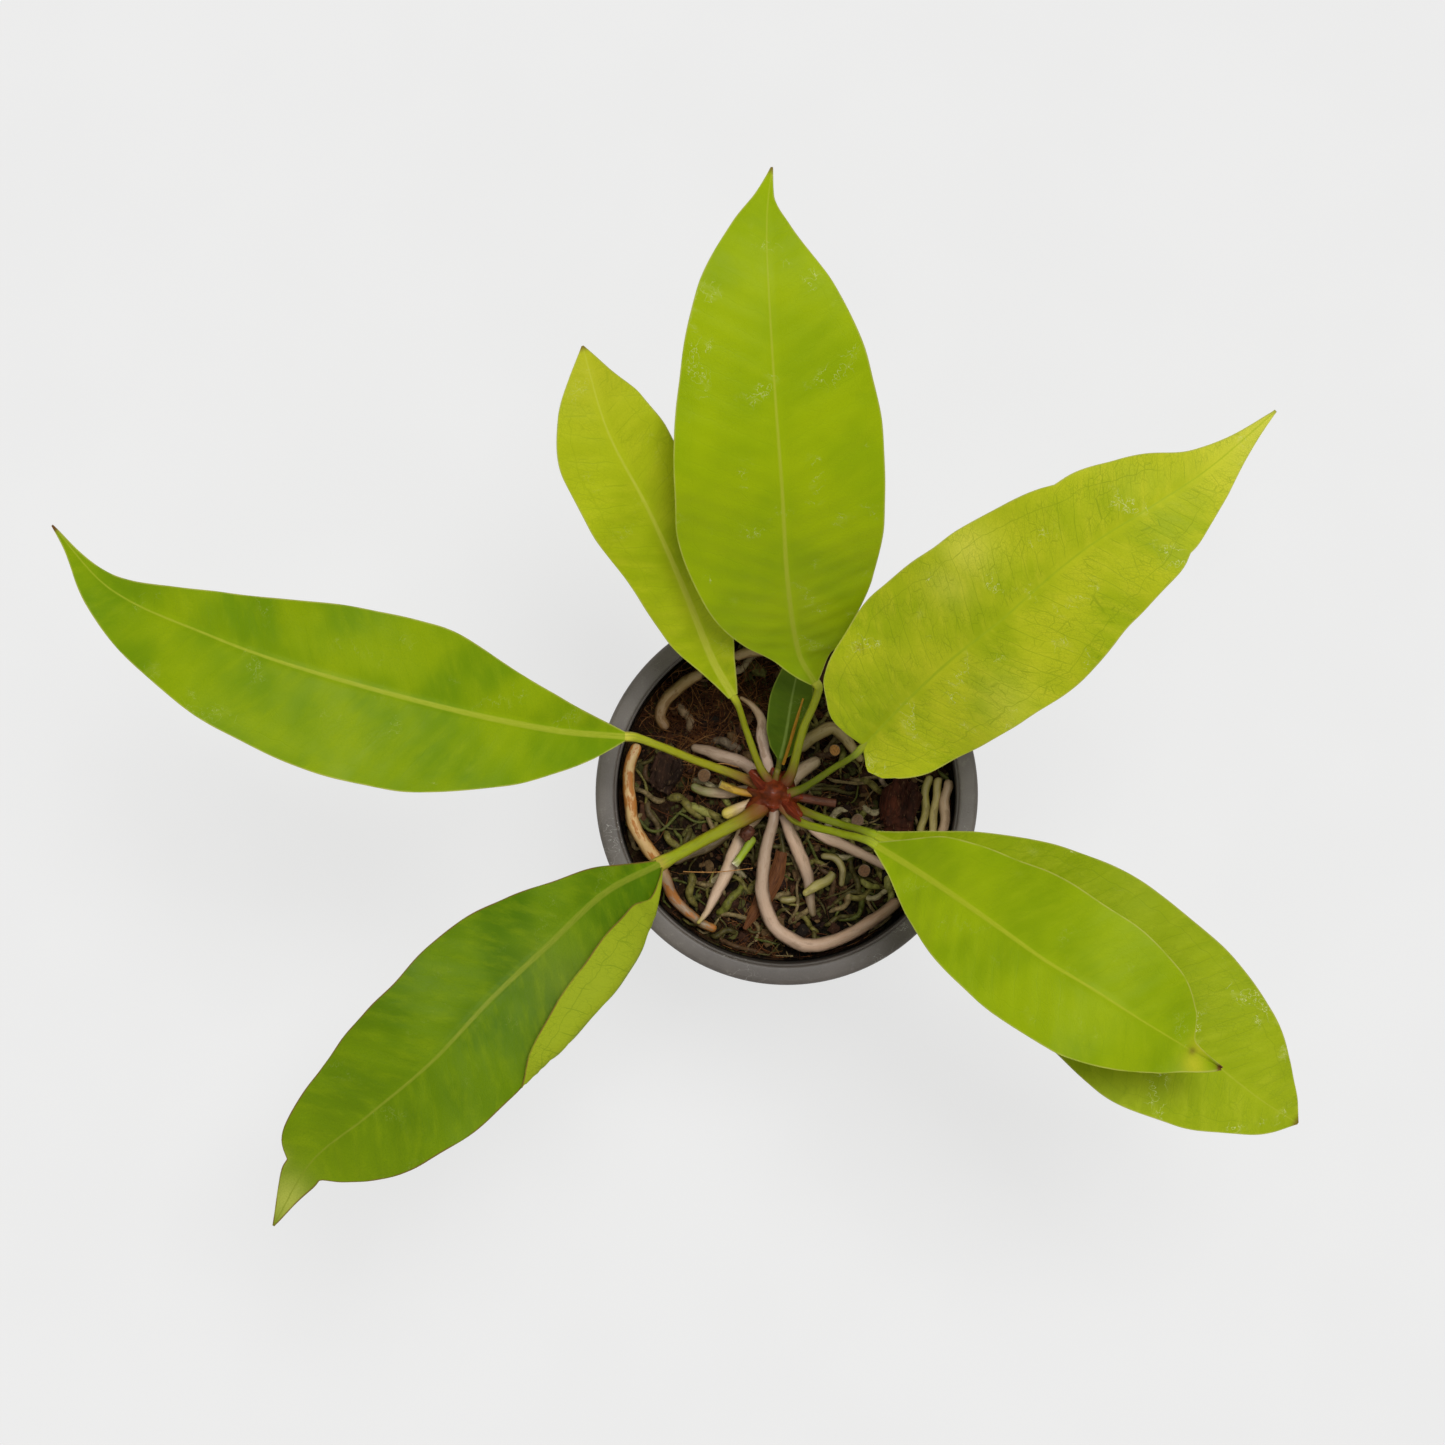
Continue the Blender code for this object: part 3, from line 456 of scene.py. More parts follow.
def stem(
    path, radii, stations=40, cut=False, groove=0.0, lumps=0.0, wrinkles=0.0, flat=1.0, shift=0.0, sway=0.0
):
    """Rings of a stem along a path, round at its ends unless the far one is cut, and its fields.

    radii are (share of the length, metres). lumps and wrinkles are shares of the radius, flat is the
    height as a share of the width, and sway is how far the stem wanders off its path, in mm.
    """
    around = STEM_AROUND
    curve = np.linspace(0, 1.45, 6)[:-1]
    start = 1 - np.cos(curve)
    first = start * radii[0][1] / path.length
    last = 1 - start * radii[-1][1] / path.length
    middle = np.linspace(first[-1], 1 if cut else last[-1], stations)
    at = np.concatenate([first[:-1], middle, [] if cut else last[-2::-1]])
    radius = smooth(radii, at)
    near = at * path.length if cut else np.minimum(at, 1 - at) * path.length
    x = np.clip(near / radius, 0, 1)
    dome = np.maximum(np.sqrt(2 * x - x**2), 0.03)
    angle = turn_angles(around)
    if cut:
        inner = np.array([0.9, 0.82, 0.4, 0.05])
        at = np.concatenate([at, np.ones(len(inner))])
        radius = np.concatenate([radius, radius[-1] * inner])
        dome = np.concatenate([dome, np.ones(len(inner))])
    is_cut = np.zeros(len(at))
    if cut:
        is_cut[-len(inner) :] = 1
    along = (at * path.length)[:, None] + 0 * angle
    tube = np.stack([along, radius[:, None] * np.cos(angle), radius[:, None] * np.sin(angle)], -1)
    swell = np.ones(along.shape)
    if lumps:
        swell += lumps * grain(tube * (0.6, 1, 1), LUMP_LENGTH, 2, shift)
    if wrinkles:
        swell += wrinkles * grain(tube * (1, 0.35, 0.35), WRINKLE_LENGTH, 2, shift + 9)
        swell += wrinkles * grain(tube * (0.12, 1, 1), WRINKLE_LENGTH, 2, shift + 5)
    swell *= 1 - groove * bell(off_angle(angle, math.pi / 2), 0.5)
    size = (radius * dome)[:, None] * swell
    centre, sideways, up = path.frames(at)
    short, long = SWAY_LENGTHS
    run = at * path.length
    wander = np.sin(run / short + shift) + np.sin(run / long + 2 * shift)
    centre = centre + sideways * (0.5 * sway * MM * wander * np.sin(math.pi * at) ** 0.5)[:, None]
    points = (
        centre[:, None]
        + sideways[:, None] * (size * np.cos(angle))[..., None]
        + up[:, None] * (size * np.sin(angle) * flat)[..., None]
    )
    fields = {
        "stem": tube.reshape(-1, 3) / MM,
        "share": (at[:, None] + 0 * angle).ravel(),
        "top": (np.sin(angle)[None] + 0 * along).ravel(),
        "cut": (is_cut[:, None] + 0 * angle).ravel(),
    }
    return points.reshape(-1, 3), loft_faces(len(at), around), fields


# ---------------------------------------------------------------- materials


class Graph:
    """A material's nodes, built by short calls. A value is a number, a colour or a socket."""

    def __init__(self, name):
        self.material = bpy.data.materials.new(name)
        self.material.use_nodes = True
        self.tree = self.material.node_tree
        self.shader = self.tree.nodes["Principled BSDF"]

    def put(self, socket, value):
        if isinstance(value, bpy.types.NodeSocket):
            self.tree.links.new(value, socket)
        elif socket.type == "RGBA":
            socket.default_value = (*value, 1)
        else:
            socket.default_value = value

    def node(self, kind, inputs, **settings):
        node = self.tree.nodes.new(f"ShaderNode{kind}")
        for key, value in settings.items():
            setattr(node, key, value)
        for key, value in inputs.items():
            self.put(node.inputs[key], value)
        return node

    def field(self, name, output="Fac"):
        return self.node("Attribute", {}, attribute_name=name).outputs[output]

    def place(self):
        """The point on the object, in mm."""
        here = self.node("TexCoord", {}).outputs["Object"]
        return self.scaled(here, (1 / MM, 1 / MM, 1 / MM))

    def scaled(self, vector, scale):
        return self.node("VectorMath", {0: vector, 1: scale}, operation="MULTIPLY").outputs[0]

    def split(self, vector):
        return self.node("SeparateXYZ", {0: vector}).outputs

    def join(self, x, y, z=0.0):
        return self.node("CombineXYZ", {0: x, 1: y, 2: z}).outputs[0]

    def math(self, operation, a, b=0.0):
        return self.node("Math", {0: a, 1: b}, operation=operation).outputs[0]

    def times(self, a, b):
        return self.math("MULTIPLY", a, b)

    def plus(self, a, b):
        return self.math("ADD", a, b)

    def largest(self, first, *others):
        for other in others:
            first = self.math("MAXIMUM", first, other)
        return first

    def mix(self, share, a, b):
        return self.node("Mix", {0: share, 6: a, 7: b}, data_type="RGBA").outputs[2]

    def absolute(self, value):
        return self.math("ABSOLUTE", value)

    def patches(self, vector, size, detail, low, high, start=0.0, end=1.0):
        """Soft patches of noise, faded in between two of its values."""
        return self.fade(self.noise(vector, size, detail), low, high, start, end)

    def fade(self, value, low, high, start=0.0, end=1.0):
        """start below low, end above high and smooth between."""
        inputs = {"Value": value, "From Min": low, "From Max": high, "To Min": start, "To Max": end}
        return self.node("MapRange", inputs, interpolation_type="SMOOTHSTEP").outputs[0]

    def noise(self, vector, size, detail=2.0, rough=0.5):
        """Soft random values round 0.5, with bumps of a size in mm."""
        inputs = {"Vector": vector, "Scale": 1 / size, "Detail": detail, "Roughness": rough}
        return self.node("TexNoise", inputs).outputs["Fac"]

    def net(self, vector, line):
        """Lines of a net of cells about 1 across, as 1 on the lines."""
        inputs = {"Vector": vector, "Scale": 1.0}
        cells = self.node("TexVoronoi", inputs, feature="DISTANCE_TO_EDGE")
        return self.fade(cells.outputs["Distance"], 0, line, 1, 0)

    def ramp(self, value, stops):
        node = self.node("ValToRGB", {0: value})
        elements = node.color_ramp.elements
        elements.remove(elements[1])
        elements[0].position = stops[0][0]
        elements[0].color = (*stops[0][1], 1)
        for place, colour in stops[1:]:
            elements.new(place).color = (*colour, 1)
        return node.outputs[0]

    def finish(self, colour, roughness, height=None, depth=0.1, strength=0.6, specular=0.5):
        """depth is the height, in mm, that a height of 1 stands for."""
        self.put(self.shader.inputs["Base Color"], colour)
        self.put(self.shader.inputs["Roughness"], roughness)
        self.shader.inputs["Specular IOR Level"].default_value = specular
        if height is not None:
            inputs = {"Height": height, "Distance": depth * MM, "Strength": strength}
            bump = self.node("Bump", inputs)
            self.put(self.shader.inputs["Normal"], bump.outputs[0])
        return self.material


VEIN_SLANT = 0.55
SCUFF_COLOUR = (0.55, 0.58, 0.22)
DEAD_TIP = (0.13, 0.06, 0.015)


def blade_material(name, look):
    """A leaf: cloudy green, a net of veins, midrib, margin line, ageing tip and scuffs."""
    g = Graph(f"{name}_leaf")
    along, across, margin = g.split(g.field("leaf", "Vector"))
    under = g.field("under")
    side = g.absolute(across)
    flat = g.join(along, across)
    cloud = g.noise(flat, 26, 2)
    slant = g.math("SUBTRACT", along, g.times(side, VEIN_SLANT))
    leaning = g.join(slant, g.times(across, 0.45))
    blotch = g.noise(leaning, 4.5, 4, 0.62)
    colour = g.mix(g.fade(cloud, 0.34, 0.66), look["deep"], look["light"])
    colour = g.mix(g.fade(blotch, 0.42, 0.75, 0, look["patchy"]), colour, look["bright"])
    share = g.field("share")
    colour = g.mix(g.fade(share, 0.35, 0.9, 0, look["outer"]), colour, look["bright"])
    colour = g.mix(g.field("yellowing"), colour, look["yellow"])
    speckle = g.noise(flat, 0.55, 3, 0.7)
    colour = g.mix(g.fade(speckle, 0.4, 0.75, 0, 0.3), colour, look["deep"])
    # Veins
    warp = g.noise(flat, 7, 2)
    phase = g.plus(g.times(slant, 1 / look["vein_gap"]), g.times(warp, 0.35))
    off_line = g.absolute(g.math("SUBTRACT", g.math("FRACT", phase), 0.5))
    lateral = g.times(g.fade(off_line, 0.0, 0.035, 1, 0), g.fade(margin, 1.5, 4))
    lateral = g.times(lateral, g.patches(flat, 12, 1, 0.36, 0.5))
    wander = g.plus(margin, g.times(warp, -5))
    off_collective = g.absolute(g.plus(wander, -look["inset"]))
    collective = g.fade(off_collective, 0.03, 0.25, 1, 0)
    collective = g.times(collective, g.fade(side, 6, 9))
    shaken = g.plus(slant, g.times(blotch, 0.8))
    coarse = g.net(g.join(g.times(shaken, 0.42), g.times(across, 0.2)), 0.035)
    fine = g.net(g.join(g.times(shaken, 1.3), g.times(across, 0.95), 3.0), 0.08)
    shown_here = g.patches(flat, 9, 2, 0.35, 0.65, 0.35, 1)
    net = g.times(g.largest(g.times(coarse, 0.7), g.times(fine, 0.5)), shown_here)
    veins = g.largest(g.times(lateral, 0.75), g.times(collective, 0.55), net)
    veins = g.times(veins, g.fade(side, 0.8, 2.5))
    shown = g.times(veins, look["veins"])
    colour = g.mix(shown, colour, look["vein"])
    # Scuffs and scratches
    scribble = g.absolute(g.plus(g.noise(flat, 4.5, 3, 0.6), -0.5))
    scuffed = g.patches(flat, 14, 2, 0.58, 0.66)
    scratch = g.times(g.fade(scribble, 0.002, 0.009, 1, 0), scuffed)
    haze = g.times(scuffed, g.fade(blotch, 0.5, 0.7, 0, 0.22))
    scuffs = g.times(g.largest(scratch, haze), look["scuffs"])
    colour = g.mix(scuffs, colour, SCUFF_COLOUR)
    # Midrib, margin and tip
    rib_width = g.fade(share, 0.0, 1.0, look["rib"], 0.15)
    rib = g.fade(g.math("SUBTRACT", side, rib_width), -0.3, 0.25, 1, 0)
    rib_streak = g.noise(g.join(g.times(along, 0.12), across), 0.35, 2)
    rib_colour = g.mix(g.fade(rib_streak, 0.3, 0.7, 0, 0.4), look["rib_colour"], look["light"])
    colour = g.mix(g.times(rib, 0.85), colour, rib_colour)
    below = g.mix(g.times(veins, 0.6), look["under"], look["deep"])
    below = g.mix(rib, below, look["rib_colour"])
    colour = g.mix(under, colour, below)
    edge = g.fade(margin, 0.15, 0.55, look["margin_share"], 0)
    edge = g.times(edge, g.patches(flat, 6, 2, 0.3, 0.55, 0.35, 1))
    colour = g.mix(edge, colour, look["margin"])
    colour = g.mix(g.field("browning"), colour, DEAD_TIP)
    # Relief
    height = g.plus(g.times(veins, -0.9), g.times(speckle, 0.5))
    height = g.plus(height, g.times(g.noise(flat, 2.2, 3), 0.8))
    roughness = g.fade(blotch, 0.3, 0.7, 0.4, 0.52)
    roughness = g.math("MAXIMUM", roughness, g.times(under, 0.62))
    return g.finish(colour, roughness, height, 0.09, 0.55, specular=0.06)


def stem_material(
    name, stops, stain_and_shade, stain_share=0.35, under=None, cut=None, rough=0.5, specular=0.3, painted_sheen=0.14
):
    """A petiole or root: colours along its length, streaks, stains, a painted highlight on top, painted
    shade below and a fibrous relief.
    """
    g = Graph(name)
    stem_place = g.field("stem", "Vector")
    colour = g.ramp(g.field("share"), stops)
    # Painted light: a pale highlight colour on the top of the stem, and painted shade on its underside,
    # both set by how far each point faces up
    painted_highlight = g.mix(painted_sheen, colour, (0.85, 0.72, 0.58))
    streaks = g.noise(g.scaled(stem_place, (0.1, 1, 1)), 0.5, 3)
    blotches = g.noise(g.scaled(stem_place, (0.4, 1, 1)), 2.4, 4, 0.65)
    light_and_shade_mask = g.plus(g.field("top"), g.times(g.plus(blotches, -0.5), 1.4))
    colour = g.mix(g.times(g.fade(light_and_shade_mask, 0.55, 1.05), g.fade(streaks, 0.3, 0.6)), colour, painted_highlight)
    # Painted shade on the underside and sides, in the under colour, else the stain colour
    colour = g.mix(g.fade(light_and_shade_mask, 0.15, 0.8, 0.85, 0), colour, under or stain_and_shade)
    colour = g.mix(g.fade(streaks, 0.44, 0.7, 0, 0.25), colour, stain_and_shade)
    low = 0.64 - 0.24 * stain_share
    colour = g.mix(g.fade(blotches, low, low + 0.1, 0, min(1, 1.3 * stain_share)), colour, stain_and_shade)
    specks = g.patches(stem_place, 0.4, 1, 0.68, 0.74, 0, 0.35)
    colour = g.mix(specks, colour, stain_and_shade)
    if cut:
        rim = g.patches(stem_place, 0.5, 2, 0.4, 0.6)
        face = g.mix(rim, cut, tuple(0.6 * c for c in cut))
        colour = g.mix(g.field("cut"), colour, face)
    height = g.plus(streaks, blotches)
    roughness = g.fade(blotches, 0.3, 0.7, rough - 0.08, rough + 0.12)
    return g.finish(colour, roughness, height, 0.12, 0.6, specular=specular)


def tinted_material(name, size, contrast=0.5, rough=0.85, depth=0.3, streak=(1, 1, 1)):
    """Loose bits: each has its own tint, mottled darker and lighter."""
    g = Graph(name)
    tint = g.field("tint", "Color")
    here = g.scaled(g.place(), streak)
    mottle = g.noise(here, size, 4, 0.65)
    dark = g.mix(0.75, tint, (0.004, 0.002, 0.001))
    colour = g.mix(g.fade(mottle, 0.35, 0.62, contrast, 0), tint, dark)
    light = g.mix(0.12, tint, (0.6, 0.4, 0.2))
    colour = g.mix(g.fade(g.noise(here, size * 0.4, 2), 0.58, 0.72, 0, contrast), colour, light)
    return g.finish(colour, rough, mottle, depth, 0.8, specular=0.15)


def soil_material():
    g = Graph("soil")
    here = g.place()
    broad = g.noise(here, 9, 4, 0.6)
    crumbs = g.noise(here, 1.3, 4, 0.7)
    colour = g.mix(g.fade(broad, 0.4, 0.62), (0.004, 0.0025, 0.0015), (0.022, 0.01, 0.004))
    colour = g.mix(g.fade(crumbs, 0.5, 0.72, 0, 0.7), colour, (0.075, 0.04, 0.018))
    mossy = g.times(g.patches(here, 7, 3, 0.52, 0.66), g.fade(crumbs, 0.42, 0.6))
    colour = g.mix(g.times(mossy, 0.55), colour, (0.05, 0.055, 0.012))
    return g.finish(colour, 0.9, g.plus(crumbs, broad), 0.8, 0.9, specular=0.1)


def pot_material():
    """Grey-brown moulded plastic, dusty and finely scratched, with painted shade at the front and down the
    inner wall.
    """
    g = Graph("pot_plastic")
    here = g.place()
    x, y, z = g.split(here)
    cloud = g.noise(here, 20, 3)
    fine = g.noise(here, 0.5, 3, 0.7)
    colour = g.mix(g.fade(cloud, 0.35, 0.65), (0.085, 0.073, 0.065), (0.125, 0.108, 0.096))
    colour = g.mix(g.fade(fine, 0.4, 0.7, 0, 0.3), colour, (0.18, 0.158, 0.14))
    # Painted shade: darker towards the front (-Y)
    colour = g.mix(g.fade(y, -30, -62, 0, 0.45), colour, (0.055, 0.046, 0.04))
    scribble = g.absolute(g.plus(g.noise(g.scaled(here, (1, 1.6, 1)), 9, 3, 0.6), -0.5))
    worn = g.patches(here, 17, 2, 0.55, 0.64)
    scratch = g.times(g.fade(scribble, 0.001, 0.005, 1, 0), worn)
    colour = g.mix(g.times(scratch, 0.6), colour, (0.42, 0.4, 0.37))
    dust = g.times(g.fade(g.noise(here, 3, 4, 0.7), 0.55, 0.75), g.fade(cloud, 0.4, 0.6, 0.1, 0.4))
    colour = g.mix(dust, colour, (0.26, 0.24, 0.21))
    # Painted shade on the inner wall below the rim, darkest down by the soil and broken up by noise
    radius = g.math("SQRT", g.plus(g.times(x, x), g.times(y, y)))
    inner = g.fade(radius, INNER_RADIUS / MM, INNER_RADIUS / MM + 0.5, 1, 0)
    inner_wall_shade = g.fade(g.plus(z, g.times(cloud, 6)), SOIL_TOP / MM, POT_HEIGHT / MM + 3, 0.95, 0.6)
    inner_wall_shade = g.times(g.times(inner, inner_wall_shade), g.fade(z, SOIL_TOP / MM - 4, SOIL_TOP / MM - 3))
    colour = g.mix(inner_wall_shade, colour, (0.022, 0.018, 0.015))
    specks = g.patches(here, 0.8, 2, 0.72, 0.78, 0, 0.7)
    colour = g.mix(specks, colour, (0.05, 0.04, 0.03))
    roughness = g.fade(fine, 0.3, 0.7, 0.42, 0.58)
    height = g.plus(g.times(fine, 0.4), g.times(scratch, -0.8))
    return g.finish(colour, roughness, height, 0.05, 0.5, specular=0.4)


def crown_material(name, body, ridge, dark):
    """Smooth moist sheaths: a body colour, a painted highlight along the ridges and painted shade in the
    folds.
    """
    g = Graph(name)
    here = g.place()
    fold = g.field("fold")
    cloud = g.noise(here, 2.6, 3, 0.55)
    fine = g.noise(g.scaled(here, (1, 1, 0.4)), 0.55, 3, 0.6)
    colour = g.mix(g.fade(cloud, 0.38, 0.66), body, tuple(0.55 * c for c in body))
    # Painted shade in the folds, in the dark colour
    colour = g.mix(g.fade(fold, -0.05, -0.6, 0, 0.9), colour, dark)
    # Painted highlight along the ridges and the lip, in the ridge colour
    lit = g.plus(fold, g.times(g.plus(cloud, -0.5), 0.9))
    colour = g.mix(g.fade(lit, 0.25, 0.8, 0, 0.45), colour, ridge)
    colour = g.mix(g.fade(fine, 0.5, 0.72, 0, 0.35), colour, dark)
    return g.finish(colour, 0.36, g.plus(cloud, g.times(fine, 0.5)), 0.3, 0.6, specular=0.3)


def papery_material(name, dark, light):
    g = Graph(name)
    along, across, margin = g.split(g.field("leaf", "Vector"))
    lines = g.noise(g.join(g.times(along, 0.08), across), 0.3, 3)
    crinkle = g.noise(g.join(along, across), 1.8, 4, 0.65)
    colour = g.mix(g.fade(lines, 0.35, 0.65), dark, light)
    colour = g.mix(g.fade(crinkle, 0.5, 0.7, 0, 0.35), colour, tuple(0.5 * c for c in dark))
    edge = g.fade(margin, 0.1, 0.5, 0.5, 0)
    colour = g.mix(edge, colour, light)
    return g.finish(colour, 0.6, g.plus(lines, crinkle), 0.12, 0.6, specular=0.15)

# ---------------------------------------------------------------- leaves

HALF_COLUMNS = 20
LEAF_STATIONS = 150


def half_section(share, width, flap, fold):
    """Sideways, up and the way along the surface, at shares of the way from midrib to margin.

    A flap of some width turns up and back over the half, round an arc.
    """
    radius = np.minimum(CURL_RADIUS, flap / 3)
    flat = width - radius
    along = share * (flat + math.pi * radius + flap)
    level = np.minimum(along, flat)
    turned = np.clip((along - flat) / np.maximum(radius, TINY), 0, math.pi)
    rest = np.maximum(along - flat - math.pi * radius, 0)
    side = level + radius * np.sin(turned) - rest
    up = fold * level + radius * (1 - np.cos(turned)) + 0.1 * rest
    return side, up, along


def blade_surface(leaf, look):
    """Points, faces and fields of a closed blade."""
    path = Path(leaf["rib"])
    even = np.linspace(0, 1, LEAF_STATIONS)
    at = even - 0.3 * np.sin(2 * math.pi * even) / (2 * math.pi)
    mm_along = at * path.length / MM
    wobble = look["wobble"]
    edges = []
    for side, column in ((1, 1), (-1, 2)):
        keys = [(row[0], row[column]) for row in leaf["outline"]]
        width = smooth(keys, at)
        uneven = np.sin(mm_along / 5.1 + side)
        uneven = uneven + np.sin(mm_along / 2.9 + 2 * side + look["turn"])
        width = width + wobble * 0.5 * uneven * np.clip(width / 8 - 0.2, 0, 1)
        for notch_side, place, depth, reach in look["notches"]:
            if notch_side == side:
                width = width - depth * np.exp(-np.abs((at - place) / reach) ** 1.3)
        edges.append(np.maximum(width, 0.25) * MM)
    left, right = (edge[:, None] for edge in edges)
    flap = smooth(look["flap"], at)[:, None] * MM
    k = np.arange(-HALF_COLUMNS, HALF_COLUMNS + 1) / HALF_COLUMNS
    share = -np.sign(k) * (0.55 * np.abs(k) + 0.45 * np.sin(np.abs(k) * math.pi / 2) ** 2)
    on_left = (share >= 0)[None]
    amount = np.abs(share)[None]
    near, far = leaf["fold"]
    fold = (far + (near - far) * np.exp(-at / 0.12))[:, None]
    fold = fold + look["tip_fold"] * np.clip((at - 0.86) / 0.14, 0, 1)[:, None] ** 1.5
    side_l, up_l, along_l = half_section(amount, left, flap, fold)
    side_r, up_r, along_r = half_section(amount, right, 0 * flap, fold)
    x = np.where(on_left, side_l, -side_r)
    y = np.where(on_left, up_l, up_r)
    across = np.where(on_left, along_l, -along_r)
    total = np.where(on_left, along_l[:, :1], along_r[:, -1:])
    margin = (total - np.abs(across)) / MM
    a, c = mm_along[:, None], across / MM
    # Waves of the margin, a channel along the midrib and swellings between the veins
    size, length, turn = look["wave"]
    wave = size * amount**2.4 * np.sin(2 * math.pi * a / length + turn + 1.9 * np.sign(c))
    wave = wave * np.clip(total / MM / 14, 0, 1)
    channel = look["rise"] * bell(c, 1.1) - 0.45 * bell(c, 3.2)
    channel = channel * (1 - at[:, None]) ** 0.5
    slant = a - VEIN_SLANT * np.abs(c)
    quilt = look["quilt"] * np.cos(2 * math.pi * slant / look["vein_gap"])
    quilt = quilt * np.clip(np.abs(c) / 5, 0, 1) * np.clip(margin / 4, 0, 1)
    uneven = 0.35 * grain(level(a, c), 14, 2, look["turn"]) * amount
    y = y + (wave + channel + quilt + uneven) * MM
    # The underside, thinner towards the margin and with the midrib standing out
    dx, dy = np.gradient(x, axis=1), np.gradient(y, axis=1)
    norm = np.hypot(dx, dy) + 1e-12
    deep = BLADE_THICKNESS * (0.3 + 0.7 * (1 - amount**4))
    deep = deep + RIB_DEPTH * bell(c, 1.3) * (1 - at[:, None]) ** 0.8
    under_x, under_y = x - dy / norm * deep, y + dx / norm * deep
    centre, sideways, up = path.frames(at)
    ring_x = np.concatenate([x, under_x[:, ::-1]], 1)[..., None]
    ring_y = np.concatenate([y, under_y[:, ::-1]], 1)[..., None]
    points = centre[:, None] + sideways[:, None] * ring_x + up[:, None] * ring_y
    # The right lobe of a heart-shaped base reaches back past the petiole
    heel = look["heel"] * MM * bell(a, 6) * np.sin(math.pi * np.clip(-c / 13, 0, 1))
    heel = np.concatenate([heel, heel[:, ::-1]], 1)[..., None]
    points = points - path.ahead(at)[:, None] * heel

    def both(values):
        values = np.broadcast_to(values, x.shape)
        return np.concatenate([values, values[:, ::-1]], 1).ravel()

    def spots(name):
        """How strongly the look's spots of a name show at each point."""
        shown = np.zeros(x.shape)
        for place, offset, reach, strength in look[name]:
            gap = np.hypot(a - place * path.length / MM, c - offset)
            shown = np.maximum(shown, strength * bell(gap, reach))
        return shown

    tip = np.clip((at[:, None] - look["tip_from"]) / 0.012, 0, 1) + 0 * c
    fields = {
        "leaf": np.stack([both(a), both(c), both(margin)], -1),
        "share": both(at[:, None]),
        "under": np.concatenate([np.zeros(x.shape), np.ones(x.shape)], 1).ravel(),
        "yellowing": both(np.clip(spots("yellow_spots"), 0, 1)),
        "browning": both(np.clip(tip * look["tip_brown"] + spots("brown_spots"), 0, 1)),
    }
    return points, loft_faces(LEAF_STATIONS, 4 * HALF_COLUMNS + 2), fields


# How a leaf looks. Lengths are in mm, and a turn is where a wave starts. A flap is the width of the
# folded-over edge along the leaf. Spots are (share along, mm across, reach, strength), and notches
# (side, share along, depth, reach as a share).
GREEN = {
    "deep": (0.17, 0.27, 0.002),
    "light": (0.27, 0.365, 0.003),
    "bright": (0.34, 0.42, 0.006),
    "yellow": (0.46, 0.44, 0.02),
    "vein": (0.1, 0.19, 0.003),
    "rib_colour": (0.36, 0.4, 0.03),
    "under": (0.25, 0.33, 0.02),
    "margin": (0.4, 0.4, 0.08),
    "margin_share": 0.7,
    "patchy": 0.35,
    "outer": 0,
    "rib": 0.95,
    "veins": 0.18,
    "vein_gap": 7.5,
    "inset": 2.2,
    "scuffs": 0.2,
    "wave": (0.8, 34, 0),
    "wobble": 0.1,
    "turn": 0,
    "rise": 0.3,
    "quilt": 0.1,
    "heel": 0,
    "flap": [(0, 0), (1, 0)],
    "notches": [],
    "tip_fold": 0,
    "tip_from": 0.985,
    "tip_brown": 0.8,
    "yellow_spots": [],
    "brown_spots": [],
}
